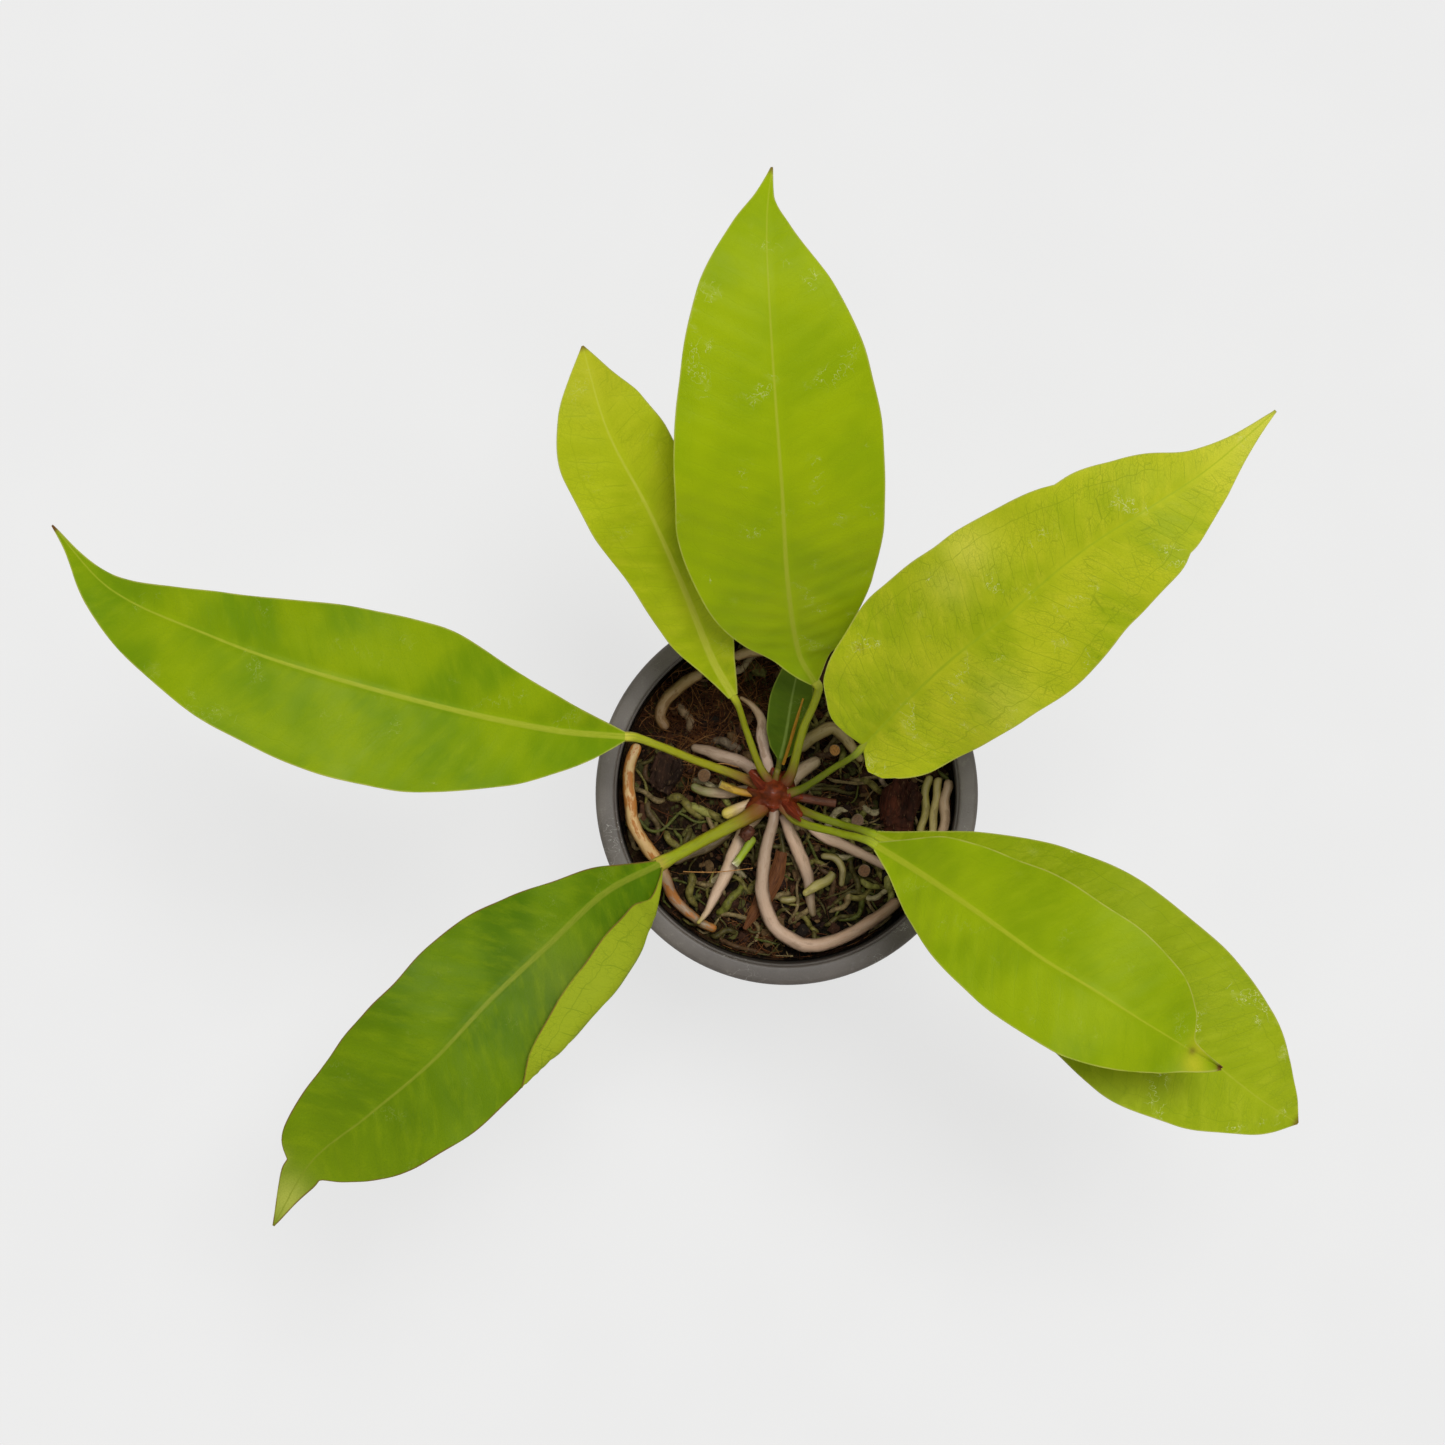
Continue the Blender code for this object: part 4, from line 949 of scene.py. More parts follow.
LOOKS = {
    "left": {
        **GREEN, "deep": (0.135, 0.235, 0.001), "light": (0.225, 0.315, 0.001),
        "wave": (1.0, 46, 1.0), "veins": 0.12, "rib_colour": (0.35, 0.39, 0.03), "rise": 0.7,
        "turn": 1, "brown_spots": [(1.0, 0, 2.5, 1.0)], "bright": (0.28, 0.36, 0.003),
        "patchy": 0.3,
    },
    "front_left": {
        **GREEN,
        "flap": [
            (0, 0.3), (0.06, 3.2), (0.14, 8.0), (0.24, 10.5), (0.34, 8.5), (0.44, 4.0), (0.5, 0),
            (1, 0),
        ],
        "deep": (0.065, 0.14, 0.001), "light": (0.115, 0.2, 0.001), "bright": (0.22, 0.3, 0.003),
        "margin": (0.16, 0.09, 0.02), "margin_share": 0.9, "rib_colour": (0.22, 0.26, 0.02),
        "under": (0.27, 0.33, 0.012), "veins": 0.16, "scuffs": 0.1, "rise": 0.9, "rib": 1.0,
        "wave": (1.5, 40, 0.4), "wobble": 0.3, "turn": 2,
        "notches": [(-1, 0.868, 2.6, 0.016), (1, 0.86, 2.4, 0.02)],
        "yellow_spots": [(0.94, 0, 9, 0.9), (0.88, -9, 4, 0.6), (0.3, 8, 12, 0.12)],
        "outer": 0.4, "tip_brown": 0.3, "tip_from": 0.99, "patchy": 0.4,
        "yellow": (0.42, 0.45, 0.07),
    },
    "back_left": {
        **GREEN, "deep": (0.28, 0.36, 0.002), "light": (0.37, 0.44, 0.006),
        "bright": (0.46, 0.49, 0.014), "vein": (0.2, 0.27, 0.003), "veins": 0.55,
        "rib_colour": (0.48, 0.5, 0.05), "rib": 1.15, "rise": 0.5, "wave": (0.7, 30, 2.0),
        "turn": 3, "yellow_spots": [(0.95, 0, 14, 0.5)], "outer": 0.4, "patchy": 0.5,
    },
    "back": {
        **GREEN, "deep": (0.235, 0.335, 0.001), "light": (0.295, 0.39, 0.001),
        "bright": (0.35, 0.43, 0.003), "veins": 0.1, "scuffs": 0.5, "rib": 0.8, "rise": 0.45,
        "quilt": 0.12, "wave": (0.9, 52, 0.5), "turn": 4, "patchy": 0.2,
    },
    "back_right": {
        **GREEN, "deep": (0.28, 0.36, 0.004), "light": (0.42, 0.46, 0.012),
        "bright": (0.5, 0.5, 0.02), "yellow": (0.72, 0.66, 0.1), "vein": (0.13, 0.21, 0.004),
        "veins": 0.75, "scuffs": 0.75, "rib_colour": (0.27, 0.36, 0.01), "rib": 0.45, "rise": -0.5,
        "heel": 5, "inset": 3.0, "wave": (1.0, 38, 2.4), "wobble": 0.25, "turn": 5,
        "notches": [(1, 0.6, 1.2, 0.02), (-1, 0.72, 1.4, 0.02)],
        "yellow_spots": [
            (0.43, 22, 8, 0.45), (0.36, 18, 7, 0.3), (1.0, 0, 26, 0.5), (0.3, -20, 10, 0.25),
        ],
        "brown_spots": [(0.165, 21, 0.9, 0.5)], "tip_from": 0.995, "outer": 0.2, "vein_gap": 4.6,
        "patchy": 0.55,
    },
    "front_right": {
        **GREEN, "deep": (0.2, 0.295, 0.001), "light": (0.265, 0.36, 0.002),
        "rib_colour": (0.36, 0.4, 0.02), "veins": 0.14, "scuffs": 0.15, "rise": 0.4,
        "wave": (1.3, 44, 3.0), "tip_fold": 1.4, "turn": 6,
        "yellow_spots": [(0.93, 3, 4, 0.8), (0.93, -3, 4, 0.8)],
        "brown_spots": [(0.915, 0, 1.2, 0.6), (1.0, 0, 2, 0.8)],
        "patchy": 0.25,
    },
    "right": {
        **GREEN, "deep": (0.22, 0.3, 0.002), "light": (0.28, 0.36, 0.005),
        "bright": (0.37, 0.43, 0.015), "vein": (0.15, 0.23, 0.005), "veins": 0.6, "scuffs": 0.85,
        "rib_colour": (0.37, 0.41, 0.03), "rise": 0.1, "wave": (0.8, 36, 1.2), "turn": 7,
        "outer": 0.25, "patchy": 0.6, "vein_gap": 5.5,
    },
    # Painted shade: the young leaf's greens are darkened for the shadow it lies in under the back leaf
    "young": {
        **GREEN, "quilt": 0.16, "deep": (0.06, 0.11, 0.004), "light": (0.09, 0.15, 0.006),
        "bright": (0.13, 0.19, 0.01), "vein": (0.05, 0.1, 0.004), "rib_colour": (0.22, 0.3, 0.06),
        "rib": 0.5, "under": (0.1, 0.17, 0.02), "veins": 0.3, "vein_gap": 4, "wave": (0.15, 18, 0),
        "wobble": 0.1, "turn": 8, "margin": (0.2, 0.25, 0.03),
    },
}


def make_blades():
    for name, leaf in LEAVES.items():
        look = LOOKS[name]
        points, faces, fields = blade_surface(leaf, look)
        material = blade_material(name, look)
        piece(f"leaf_{name}", points, faces, material, [f"blade_{name}"], fields, sharp=70)


# ---------------------------------------------------------------- petioles, stubs and shoots

RED = (0.15, 0.022, 0.012)
RUSTY = (0.17, 0.075, 0.018)
# How a petiole runs on under its blade: mm past the blade's base, mm below the midrib
PETIOLE_END = ((-5, 0.8), (0.5, 1.6), (7, 2.4))
PETIOLE_STAIN = (0.1, 0.09, 0.012)
# Petiole: colours along it, the colour of painted shade on its sides and underside, thickness as a share
# of the imported one's
PETIOLE_LOOKS = {
    "left": (
        [
            (0, RED), (0.13, RUSTY), (0.3, (0.263, 0.25, 0.006)), (0.8, (0.325, 0.35, 0.006)),
            (1, (0.525, 0.5, 0.042)),
        ],
        (0.125, 0.094, 0.006),
        0.85,
    ),
    "front_left": (
        [
            (0, RED), (0.14, (0.188, 0.088, 0.012)), (0.3, (0.25, 0.263, 0.006)),
            (0.7, (0.275, 0.325, 0.005)), (1, (0.35, 0.3, 0.024)),
        ],
        (0.15, 0.1, 0.008),
        0.95,
    ),
    "back_left": (
        [
            (0, RED), (0.06, RUSTY), (0.14, (0.25, 0.237, 0.008)), (0.4, (0.3, 0.325, 0.006)),
            (1, (0.425, 0.45, 0.018)),
        ],
        (0.15, 0.163, 0.006),
        0.8,
    ),
    "back": (
        [
            (0, RED), (0.1, RUSTY), (0.25, (0.25, 0.275, 0.006)), (0.8, (0.3, 0.338, 0.006)),
            (1, (0.475, 0.5, 0.03)),
        ],
        (0.15, 0.163, 0.006),
        0.85,
    ),
    "back_right": (
        [
            (0, RUSTY), (0.12, (0.125, 0.163, 0.005)), (0.5, (0.175, 0.225, 0.005)),
            (1, (0.24, 0.28, 0.01)),
        ],
        (0.075, 0.1, 0.005),
        0.66,
    ),
    "front_right": (
        [
            (0, RED), (0.06, RUSTY), (0.12, (0.25, 0.263, 0.012)), (0.35, (0.275, 0.338, 0.005)),
            (1, (0.35, 0.425, 0.012)),
        ],
        (0.138, 0.138, 0.007),
        0.8,
    ),
    "right": (
        [
            (0, RED), (0.12, (0.163, 0.112, 0.008)), (0.35, (0.2, 0.25, 0.006)),
            (1, (0.275, 0.35, 0.006)),
        ],
        (0.1, 0.112, 0.006),
        0.8,
    ),
    "young": (
        [(0, RED), (0.3, (0.125, 0.125, 0.006)), (1, (0.088, 0.15, 0.005))],
        (0.062, 0.062, 0.005),
        0.9,
    ),
}


def make_petioles():
    """Stalks, widened into a sheath at the crown; each runs on under its blade."""
    for order, (name, leaf) in enumerate(LEAVES.items()):
        rib = Path(leaf["rib"])
        base = np.array(leaf["rib"][0], float)
        _, _, up = (v[0] for v in rib.frames(np.array([0.0])))
        ahead = rib.ahead(np.array([0.0]))[0]
        start = leaf["petiole"]
        tip = [base + ahead * far - up * low for far, low in PETIOLE_END]
        path = Path([*start, *(tuple(p) for p in tip)])
        stops, shaded_sides, wide = PETIOLE_LOOKS[name]
        radius = PETIOLE_RADIUS * leaf.get("petiole_scale", 1) * wide
        joint = 1 - 8 * MM / path.length
        radii = [
            (0, 1.5 * radius),
            (0.1, 1.2 * radius),
            (0.25, 1.0 * radius),
            (joint - 0.12, 0.9 * radius),
            (joint, 1.15 * radius),
            (joint + 0.4 * (1 - joint), 0.9 * radius),
            (1, 0.4 * radius),
        ]
        green = stops[-2][1]
        stops = [*stops[:-1], (joint - 0.05, green), (joint, stops[-1][1])]
        # The side colour paints the shade on each stalk's sides and underside, and 0.03 is its painted
        # sheen
        material = stem_material(
            f"petiole_{name}_skin", stops, PETIOLE_STAIN, 0.12, shaded_sides, None, 0.4, 0.15, 0.03
        )
        points, faces, fields = stem(path, radii, 60, False, 0.2, 0.04, 0.008, shift=order * 3.1)
        piece(f"stalk_{name}", points, faces, material, [f"petiole_{name}"], fields)


# Stub: colours along it, a stain colour that also paints the shade on its underside, the colour of its cut
# end
STUB_LOOKS = {
    "shoot_front": (
        [
            (0, (0.16, 0.2, 0.01)), (0.3, (0.22, 0.3, 0.01)), (0.75, (0.27, 0.36, 0.012)),
            (0.9, (0.5, 0.48, 0.2)), (1, (0.66, 0.6, 0.45)),
        ],
        (0.13, 0.17, 0.01),
        (0.66, 0.6, 0.45),
    ),
    "stub_right": (
        [(0, (0.11, 0.02, 0.008)), (0.6, (0.095, 0.026, 0.01)), (1, (0.12, 0.036, 0.015))],
        (0.04, 0.014, 0.006),
        (0.27, 0.07, 0.04),
    ),
    "stub_left": (
        [
            (0, (0.2, 0.05, 0.01)), (0.3, (0.42, 0.2, 0.02)), (0.7, (0.55, 0.36, 0.03)),
            (1, (0.5, 0.36, 0.06)),
        ],
        (0.2, 0.09, 0.02),
        (0.72, 0.6, 0.3),
    ),
}


def make_stubs():
    for order, (name, (points, (start, end))) in enumerate(STUBS.items()):
        stops, stain_and_shade, cut = STUB_LOOKS[name]
        material = stem_material(f"{name}_skin", stops, stain_and_shade, 0.4, cut=cut, specular=0.15, painted_sheen=0.05)
        wide = 0.78 if name == "shoot_front" else 0.92
        radii = [(0, start * wide * MM), (1, end * wide * MM)]
        mesh = stem(Path(points), radii, 30, True, 0.1, 0.1, 0.02, shift=20 + order)
        piece(f"{name}_end", mesh[0], mesh[1], material, [name], mesh[2])


# ---------------------------------------------------------------- roots

PINKISH = (0.5, 0.335, 0.225)
GREYISH = (0.3, 0.205, 0.14)
STRAW = (0.4, 0.27, 0.115)
BROWN = (0.129, 0.059, 0.024)
ALGAE = (0.16, 0.16, 0.027)
# Root: (colours along it, stain, how much of it is stained); a darker share of the stain also paints the
# shade on its sides
ROOT_LOOKS = {
    "root_left_wall": (
        [
            (0, (0.486, 0.338, 0.145)), (0.25, (0.603, 0.407, 0.175)),
            (0.55, (0.535, 0.338, 0.127)), (0.7, GREYISH), (1, (0.195, 0.136, 0.058)),
        ],
        (0.37, 0.127, 0.017),
        0.7,
    ),
    "root_front_left": (
        [
            (0, (0.34, 0.237, 0.113)), (0.3, (0.486, 0.338, 0.213)), (0.8, (0.545, 0.381, 0.268)),
            (0.93, (0.506, 0.356, 0.213)), (1, (0.438, 0.381, 0.035)),
        ],
        (0.292, 0.169, 0.093),
        0.3,
    ),
    "root_front_loop": (
        [
            (0, (0.195, 0.127, 0.085)), (0.15, (0.321, 0.22, 0.149)), (0.45, (0.486, 0.33, 0.234)),
            (0.75, (0.408, 0.262, 0.17)), (1, (0.292, 0.169, 0.099)),
        ],
        (0.253, 0.16, 0.099),
        0.35,
    ),
    "root_front": (
        [(0, PINKISH), (0.45, (0.486, 0.321, 0.218)), (0.75, GREYISH), (1, (0.156, 0.11, 0.05))],
        (0.233, 0.152, 0.085),
        0.35,
    ),
    "root_right_front": (
        [(0, (0.584, 0.424, 0.312)), (0.5, PINKISH), (1, GREYISH)],
        (0.273, 0.169, 0.106),
        0.3,
    ),
    "root_left_stub": (
        [
            (0, (0.438, 0.287, 0.145)), (0.6, (0.535, 0.381, 0.197)), (0.8, (0.584, 0.466, 0.07)),
            (1, (0.603, 0.492, 0.041)),
        ],
        (0.292, 0.169, 0.058),
        0.3,
    ),
    "root_left_pink": (
        [
            (0, (0.486, 0.338, 0.234)), (0.55, (0.438, 0.305, 0.198)),
            (0.8, (0.205, 0.205, 0.052)), (1, (0.133, 0.146, 0.027)),
        ],
        (0.195, 0.127, 0.056),
        0.35,
    ),
    "root_back_up": (
        [
            (0, (0.486, 0.347, 0.268)), (0.5, (0.545, 0.398, 0.298)),
            (0.75, (0.408, 0.279, 0.155)), (1, (0.233, 0.143, 0.05)),
        ],
        (0.243, 0.143, 0.085),
        0.45,
    ),
    "root_back_left_arch": (
        [(0, (0.408, 0.279, 0.198)), (0.5, (0.389, 0.27, 0.192)), (1, (0.214, 0.143, 0.085))],
        (0.195, 0.118, 0.071),
        0.4,
    ),
    "root_back_right": (
        [(0, (0.389, 0.279, 0.17)), (1, (0.321, 0.237, 0.128))],
        (0.146, 0.093, 0.043),
        0.4,
    ),
    "root_back_right_bend": (
        [
            (0, (0.233, 0.186, 0.058)), (0.4, (0.34, 0.253, 0.093)), (0.8, (0.408, 0.305, 0.116)),
            (1, (0.292, 0.228, 0.076)),
        ],
        (0.156, 0.101, 0.029),
        0.4,
    ),
    "root_back_left_wall": (
        [(0, (0.292, 0.195, 0.076)), (0.5, (0.321, 0.202, 0.076)), (1, (0.156, 0.076, 0.024))],
        (0.146, 0.068, 0.017),
        0.5,
    ),
    "root_back_wall": ([(0, STRAW), (1, (0.34, 0.228, 0.098))], BROWN, 0.4),
    "rootlet_right_inner": (
        [(0, (0.285, 0.244, 0.056)), (1, (0.342, 0.278, 0.064))],
        (0.133, 0.104, 0.024),
        0.4,
    ),
    "rootlet_right_middle": (
        [(0, (0.323, 0.261, 0.072)), (1, (0.38, 0.296, 0.096))],
        (0.171, 0.122, 0.032),
        0.4,
    ),
    "rootlet_right_outer": (
        [(0, (0.323, 0.217, 0.12)), (1, (0.399, 0.261, 0.16))],
        (0.19, 0.113, 0.056),
        0.4,
    ),
    "root_under_petiole": (
        [(0, (0.152, 0.106, 0.043)), (1, (0.106, 0.073, 0.027))],
        (0.061, 0.04, 0.016),
        0.4,
    ),
    "root_green_tip": (
        [(0, (0.167, 0.145, 0.032)), (0.5, (0.251, 0.218, 0.048)), (1, (0.365, 0.311, 0.075))],
        (0.152, 0.125, 0.032),
        0.35,
    ),
    "root_green_left": (
        [(0, (0.19, 0.158, 0.038)), (1, (0.213, 0.178, 0.043))],
        (0.106, 0.086, 0.022),
        0.35,
    ),
    "root_green_hook": (
        [(0, (0.167, 0.139, 0.032)), (0.5, (0.251, 0.205, 0.059)), (1, (0.152, 0.125, 0.032))],
        (0.106, 0.086, 0.022),
        0.4,
    ),
}
FLAT_ROOTS = {"root_back_up": 0.75, "root_back_left_arch": 0.85, "root_left_pink": 0.8}


def make_roots():
    for order, (name, (points, shares)) in enumerate(ROOTS.items()):
        path = Path(points)
        slim = 1 if name.startswith("rootlet") else 0.84
        keys = [(at, ROOT_RADIUS * share * slim) for at, share in zip((0, 0.5, 1), shares)]
        stops, stain_and_shade, amount = ROOT_LOOKS[name]
        kind = "rootlet" if name.startswith(("rootlet", "root_green")) else "root"
        # A darker share of the stain paints the shade on each root's sides and underside; the default
        # painted sheen lights its top
        shaded_sides = tuple(0.45 * c for c in stain_and_shade)
        material = stem_material(f"{name}_skin", stops, stain_and_shade, amount, shaded_sides, rough=0.42, specular=0.25)
        stations = int(12 + path.length / (0.7 * MM))
        lumps = 0.17 if name == "root_back_up" else 0.12
        flat = FLAT_ROOTS.get(name, 0.95)
        sway = 0.9 if kind == "rootlet" else 0.25
        mesh = stem(path, keys, stations, False, 0.0, lumps, 0.02, flat, shift=30 + 2.7 * order, sway=sway)
        piece(f"aerial_{name}", mesh[0], mesh[1], material, [name], mesh[2])


def make_shoot_bud():
    """The red-brown bud that the young shoot grows out of."""
    rng = random.Random(8)
    pile = Pile()
    centre = Vector((-12.3 * MM, -12.4 * MM, SOIL_TOP + 11.3 * MM))
    pile.add(*lump(rng, centre, (4.6, 3.6, 3.4), 0.9, 0.3, 4), (0.085, 0.026, 0.012))
    pile.make("shoot_bud", tinted_material("bud_skin", 1.6, 0.5, 0.45, 0.2))


CUT_ROOT_SKIN = [(0, (0.13, 0.1, 0.05)), (1, (0.22, 0.15, 0.08))]


def make_cut_roots():
    cut_colours = {
        "cut_root_back": (0.48, 0.22, 0.05),
        "cut_root_left": (0.17, 0.08, 0.022),
        "cut_root_right": (0.15, 0.075, 0.03),
        "cut_root_front": (0.17, 0.075, 0.025),
    }
    for order, (name, (x, y, top, radius)) in enumerate(CUT_ROOTS.items()):
        cut = cut_colours[name]
        # The stain colour also paints the shade on each cut root's sides, and the default painted sheen
        # lights its top
        material = stem_material(f"{name}_skin", CUT_ROOT_SKIN, (0.08, 0.05, 0.02), 0.5, cut=cut)
        lean = Path([(x, y, 0.35), (x + 0.01, y + 0.01, top / 2), (x, y, top)])
        radii = [(0, 1.1 * radius * MM), (1, radius * MM)]
        mesh = stem(lean, radii, 16, True, 0.0, 0.1, 0.04, shift=90 + order)
        piece(f"{name}_end", mesh[0], mesh[1], material, [name], mesh[2])


# ---------------------------------------------------------------- crown and dried sheaths


# Folds: where each points, in degrees, how far it reaches and how high its end is, in mm
CROWN_RISE = 2.4
FOLDS = [
    (135, 10.5, 2.0), (168, 8.6, -0.5), (212, 10.5, 0.4), (268, 8.2, -0.8), (321, 11.5, 0.8),
    (352, 9.6, 0.2), (50, 9.0, 1.2), (92, 8.2, 0.4),
]


# The crown between its folds, in mm: how far it reaches, and the heights of its edge and its top
CROWN_REACH, CROWN_EDGE, CROWN_TOP = 7.2, -2.6, 4.4
FOLD_GAP = -0.55  # the ridge height between folds, where a fold's own is 1
# Crown colours: the body, a painted highlight along the ridges, and painted shade in the folds that also
# tints its darker flecks
CROWN_BODY, CROWN_RIDGE_HIGHLIGHT = (0.17, 0.028, 0.006), (0.21, 0.02, 0.007)
CROWN_SHADE_AND_FLECKS = (0.03, 0.004, 0.002)


def make_crown():
    """A tent of smooth sheaths round the growing point, drawn out into folds."""
    spokes, rings = 160, 34
    phi = turn_angles(spokes)
    reach, lift = np.full(spokes, CROWN_REACH), np.full(spokes, CROWN_EDGE)
    ridge = np.full(spokes, FOLD_GAP)
    for degrees, far, height in FOLDS:
        off = off_angle(phi, math.radians(degrees))
        near = bell(off, 0.24)
        reach = np.maximum(reach, CROWN_REACH + (far - CROWN_REACH) * near)
        lift = np.maximum(lift, CROWN_EDGE + (height - CROWN_EDGE) * near)
        ridge = np.maximum(ridge, FOLD_GAP + (1 - FOLD_GAP) * np.exp(-((off / 0.15) ** 1.5)))
    share = np.concatenate([np.linspace(0.03, 1, rings), np.linspace(0.97, 0.1, 10)])
    upper = np.arange(len(share)) < rings
    # Round and even in the middle, so that the folds don't meet in a point there
    spread = np.clip((share[:, None] - 0.35) / 0.5, 0, 1)
    reach = CROWN_REACH + (reach[None] - CROWN_REACH) * spread
    lift = CROWN_EDGE + (lift[None] - CROWN_EDGE) * spread
    r = share[:, None] * reach
    outer = np.clip((share[:, None] - 0.62) / 0.34, 0, 1) ** 1.5
    x, y = r * np.cos(phi[None]), r * np.sin(phi[None])
    z = CROWN_TOP + (lift - CROWN_TOP) * share[:, None] ** 1.8
    z = z + 0.8 * ridge[None] * outer * (1.15 - share[:, None])
    body = np.exp(-((((x + 1.4) / 4.6) ** 2 + ((y - 0.9) / 2.9) ** 2) ** 1.6))
    lip = bell(np.hypot(x - 0.5, y) - 4.6, 0.45)
    lip = lip * np.clip(np.cos(np.arctan2(y, x - 0.5) + 0.7) + 0.45, 0, 1)
    z = z + 1.9 * body + 1.2 * lip
    below = lift - 0.5 - 4.5 * (1 - share[:, None]) ** 0.6
    z = np.where(upper[:, None], z, below)
    z = z + 0.35 * grain(level(x, y), 3.2, 2, 4)
    points = np.stack([x, y, z + CROWN_RISE], -1) * MM + np.array(CROWN_CENTRE)
    # The fold field drives the painted highlight on the ridges and on the lip, brightest towards the front
    # right, and the painted shade in the folds
    fold = ridge[None] * outer + 0.9 * lip - 0.15 * body
    fold = fold + 0.25 * grain(level(x, y), 2.0, 2, 9)
    skin = crown_material("crown_flesh", CROWN_BODY, CROWN_RIDGE_HIGHLIGHT, CROWN_SHADE_AND_FLECKS)
    faces = loft_faces(len(share), spokes)
    piece("crown_head", points, faces, skin, ["crown"], {"fold": fold.ravel()}, sharp=75)


SHEET_THICKNESS = 0.22  # mm
# Sheath: dark colour, light colour, its kind (crown or dry), how cupped it is, its width as a share
SHEATH_LOOKS = {
    "sheath_back_left": ((0.085, 0.01, 0.004), (0.17, 0.026, 0.008), "crown", 0.9, 0.85),
    "sheath_front_right": ((0.1, 0.012, 0.004), (0.19, 0.028, 0.008), "crown", 1.3, 0.7),
    "sheath_dried": ((0.075, 0.024, 0.008), (0.15, 0.055, 0.018), "dry", 0.4, 1.25),
    "strip_back": ((0.22, 0.1, 0.006), (0.38, 0.19, 0.012), "dry", 0.6, 0.62),
}


def sheet_mesh(points, widths, cup, shift, crinkle):
    """A thin curved strip with a crinkled surface."""
    path = Path(points)
    stations, half = 40, 7
    at = np.linspace(0, 1, stations)
    keys = [(k / (len(widths) - 1), w) for k, w in enumerate(widths)]
    width = smooth(keys, at)
    width = width * (1 + 0.06 * np.sin(at * 23 + shift) * at)
    share = np.arange(-half, half + 1)[None] / half
    x = -share * width[:, None]
    y = cup * np.abs(share) ** 1.6 * width[:, None]
    a = (at * path.length / MM)[:, None] + 0 * x
    crinkles = crinkle * grain(level(a, x), 2.6, 2, shift)
    y = y + crinkles * np.minimum(width[:, None] / 1.5, 1)
    ring_x = np.concatenate([x, x[:, ::-1]], 1)[..., None] * MM
    ring_y = np.concatenate([y, y[:, ::-1] - SHEET_THICKNESS], 1)[..., None] * MM
    centre, sideways, up = path.frames(at)
    points = centre[:, None] + sideways[:, None] * ring_x + up[:, None] * ring_y
    margin = width[:, None] - np.abs(x)
    leaf = np.stack([np.concatenate([v, v[:, ::-1]], 1).ravel() for v in (a, x, margin)], -1)
    return points, loft_faces(stations, 4 * half + 2), {"leaf": leaf}


def make_sheaths():
    for order, (name, (points, widths)) in enumerate(SHEATHS.items()):
        dark, light, kind, cup, wide = SHEATH_LOOKS[name]
        widths = [w * wide for w in widths]
        mesh = sheet_mesh(points, widths, -cup, 60 + order * 2, 0.1)
        material = papery_material(f"{name}_skin", dark, light)
        piece(f"{name}_skin", mesh[0], mesh[1], material, [name], mesh[2])


# ---------------------------------------------------------------- soil and what lies on it


# Hollows in the bed: x, y, radius and depth in mm
HOLLOWS = [(-8, 36, 7, 5), (-30, 1, 4, 3), (30, -20, 5, 3), (0, 20, 5, 3), (26, 22, 5, 3)]


def soil_height(x, y):
    """Height of the bed over its mean level, in mm."""
    here = Vector((x, y, 0))
    height = 2.3 * noise.fractal(here / 8, 1, 2, 3) + 0.9 * noise.fractal(here / 2.4, 1, 2, 2) - 0.5
    for hole_x, hole_y, reach, depth in HOLLOWS:
        gap = math.hypot(x - hole_x, y - hole_y) / reach
        height -= depth * math.exp(-gap * gap)
    return height


def make_soil():
    spokes, rings = 180, 64
    wall = (INNER_RADIUS - 0.3 * MM) / MM
    angle = turn_angles(spokes)
    top = SOIL_TOP / MM
    points = []
    for radius in np.linspace(0.3, wall, rings):
        for a in angle:
            x, y = radius * math.cos(a), radius * math.sin(a)
            points.append((x, y, top - 0.6 + soil_height(x, y)))
    soil_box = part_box("substrate")
    foot_z = soil_box[0].z / MM
    foot_radius = wall - 11.5
    for share in (0.15, 0.5, 1):
        radius = wall + (foot_radius - wall) * share - 0.3
        z = top - 8 + (foot_z - top + 8) * share
        for a in angle:
            points.append((radius * math.cos(a), radius * math.sin(a), z))
    faces = loft_faces(rings + 3, spokes)
    points = np.array(points) * MM
    piece("soil_bed", points, faces, soil_material(), ["substrate"], sharp=80)


def on_bed(x, y, height):
    return Vector((x * MM, y * MM, SOIL_TOP + (soil_height(x, y) - 0.6 + height) * MM))


def inside(x, y, gap):
    """The point pulled in until it is clear of the wall by a gap, in mm."""
    most = INNER_RADIUS / MM - gap
    far = math.hypot(x, y)
    pull = min(1, most / max(far, TINY))
    return x * pull, y * pull


def thin_tube(points, radii, around):
    """A small round tube through points in metres."""
    points = np.array(points, float)
    ahead = unit(np.gradient(points, axis=0))
    sideways = unit(np.cross((0.03, 0.02, 1), ahead))
    up = np.cross(ahead, sideways)
    angle = 2 * math.pi * np.arange(around) / around
    radii = np.asarray(radii, float)[:, None, None]
    ring = sideways[:, None] * np.cos(angle)[..., None] + up[:, None] * np.sin(angle)[..., None]
    return points[:, None] + ring * radii, loft_faces(len(points), around)


# Where the fibres lie thickest: centre x, y, reach in mm and share of the fibres.
# Where fibres lie: x, y, how far they spread in mm, and the share of all of them
FIBRE_CLUMPS = [
    (-31, 24, 10, 0.3), (-14, 31, 8, 0.14), (-26, 10, 9, 0.11), (4, 36, 10, 0.1),
    (30, 16, 9, 0.06), (-10, -44, 4, 0.05), (0, -6, 38, 0.24),
]
FIBRE_COUNT = 1500
FIBRE_TINTS = [
    (0.09, 0.028, 0.008), (0.05, 0.016, 0.006), (0.15, 0.055, 0.016), (0.028, 0.01, 0.005),
    (0.06, 0.022, 0.01), (0.24, 0.11, 0.035),
]


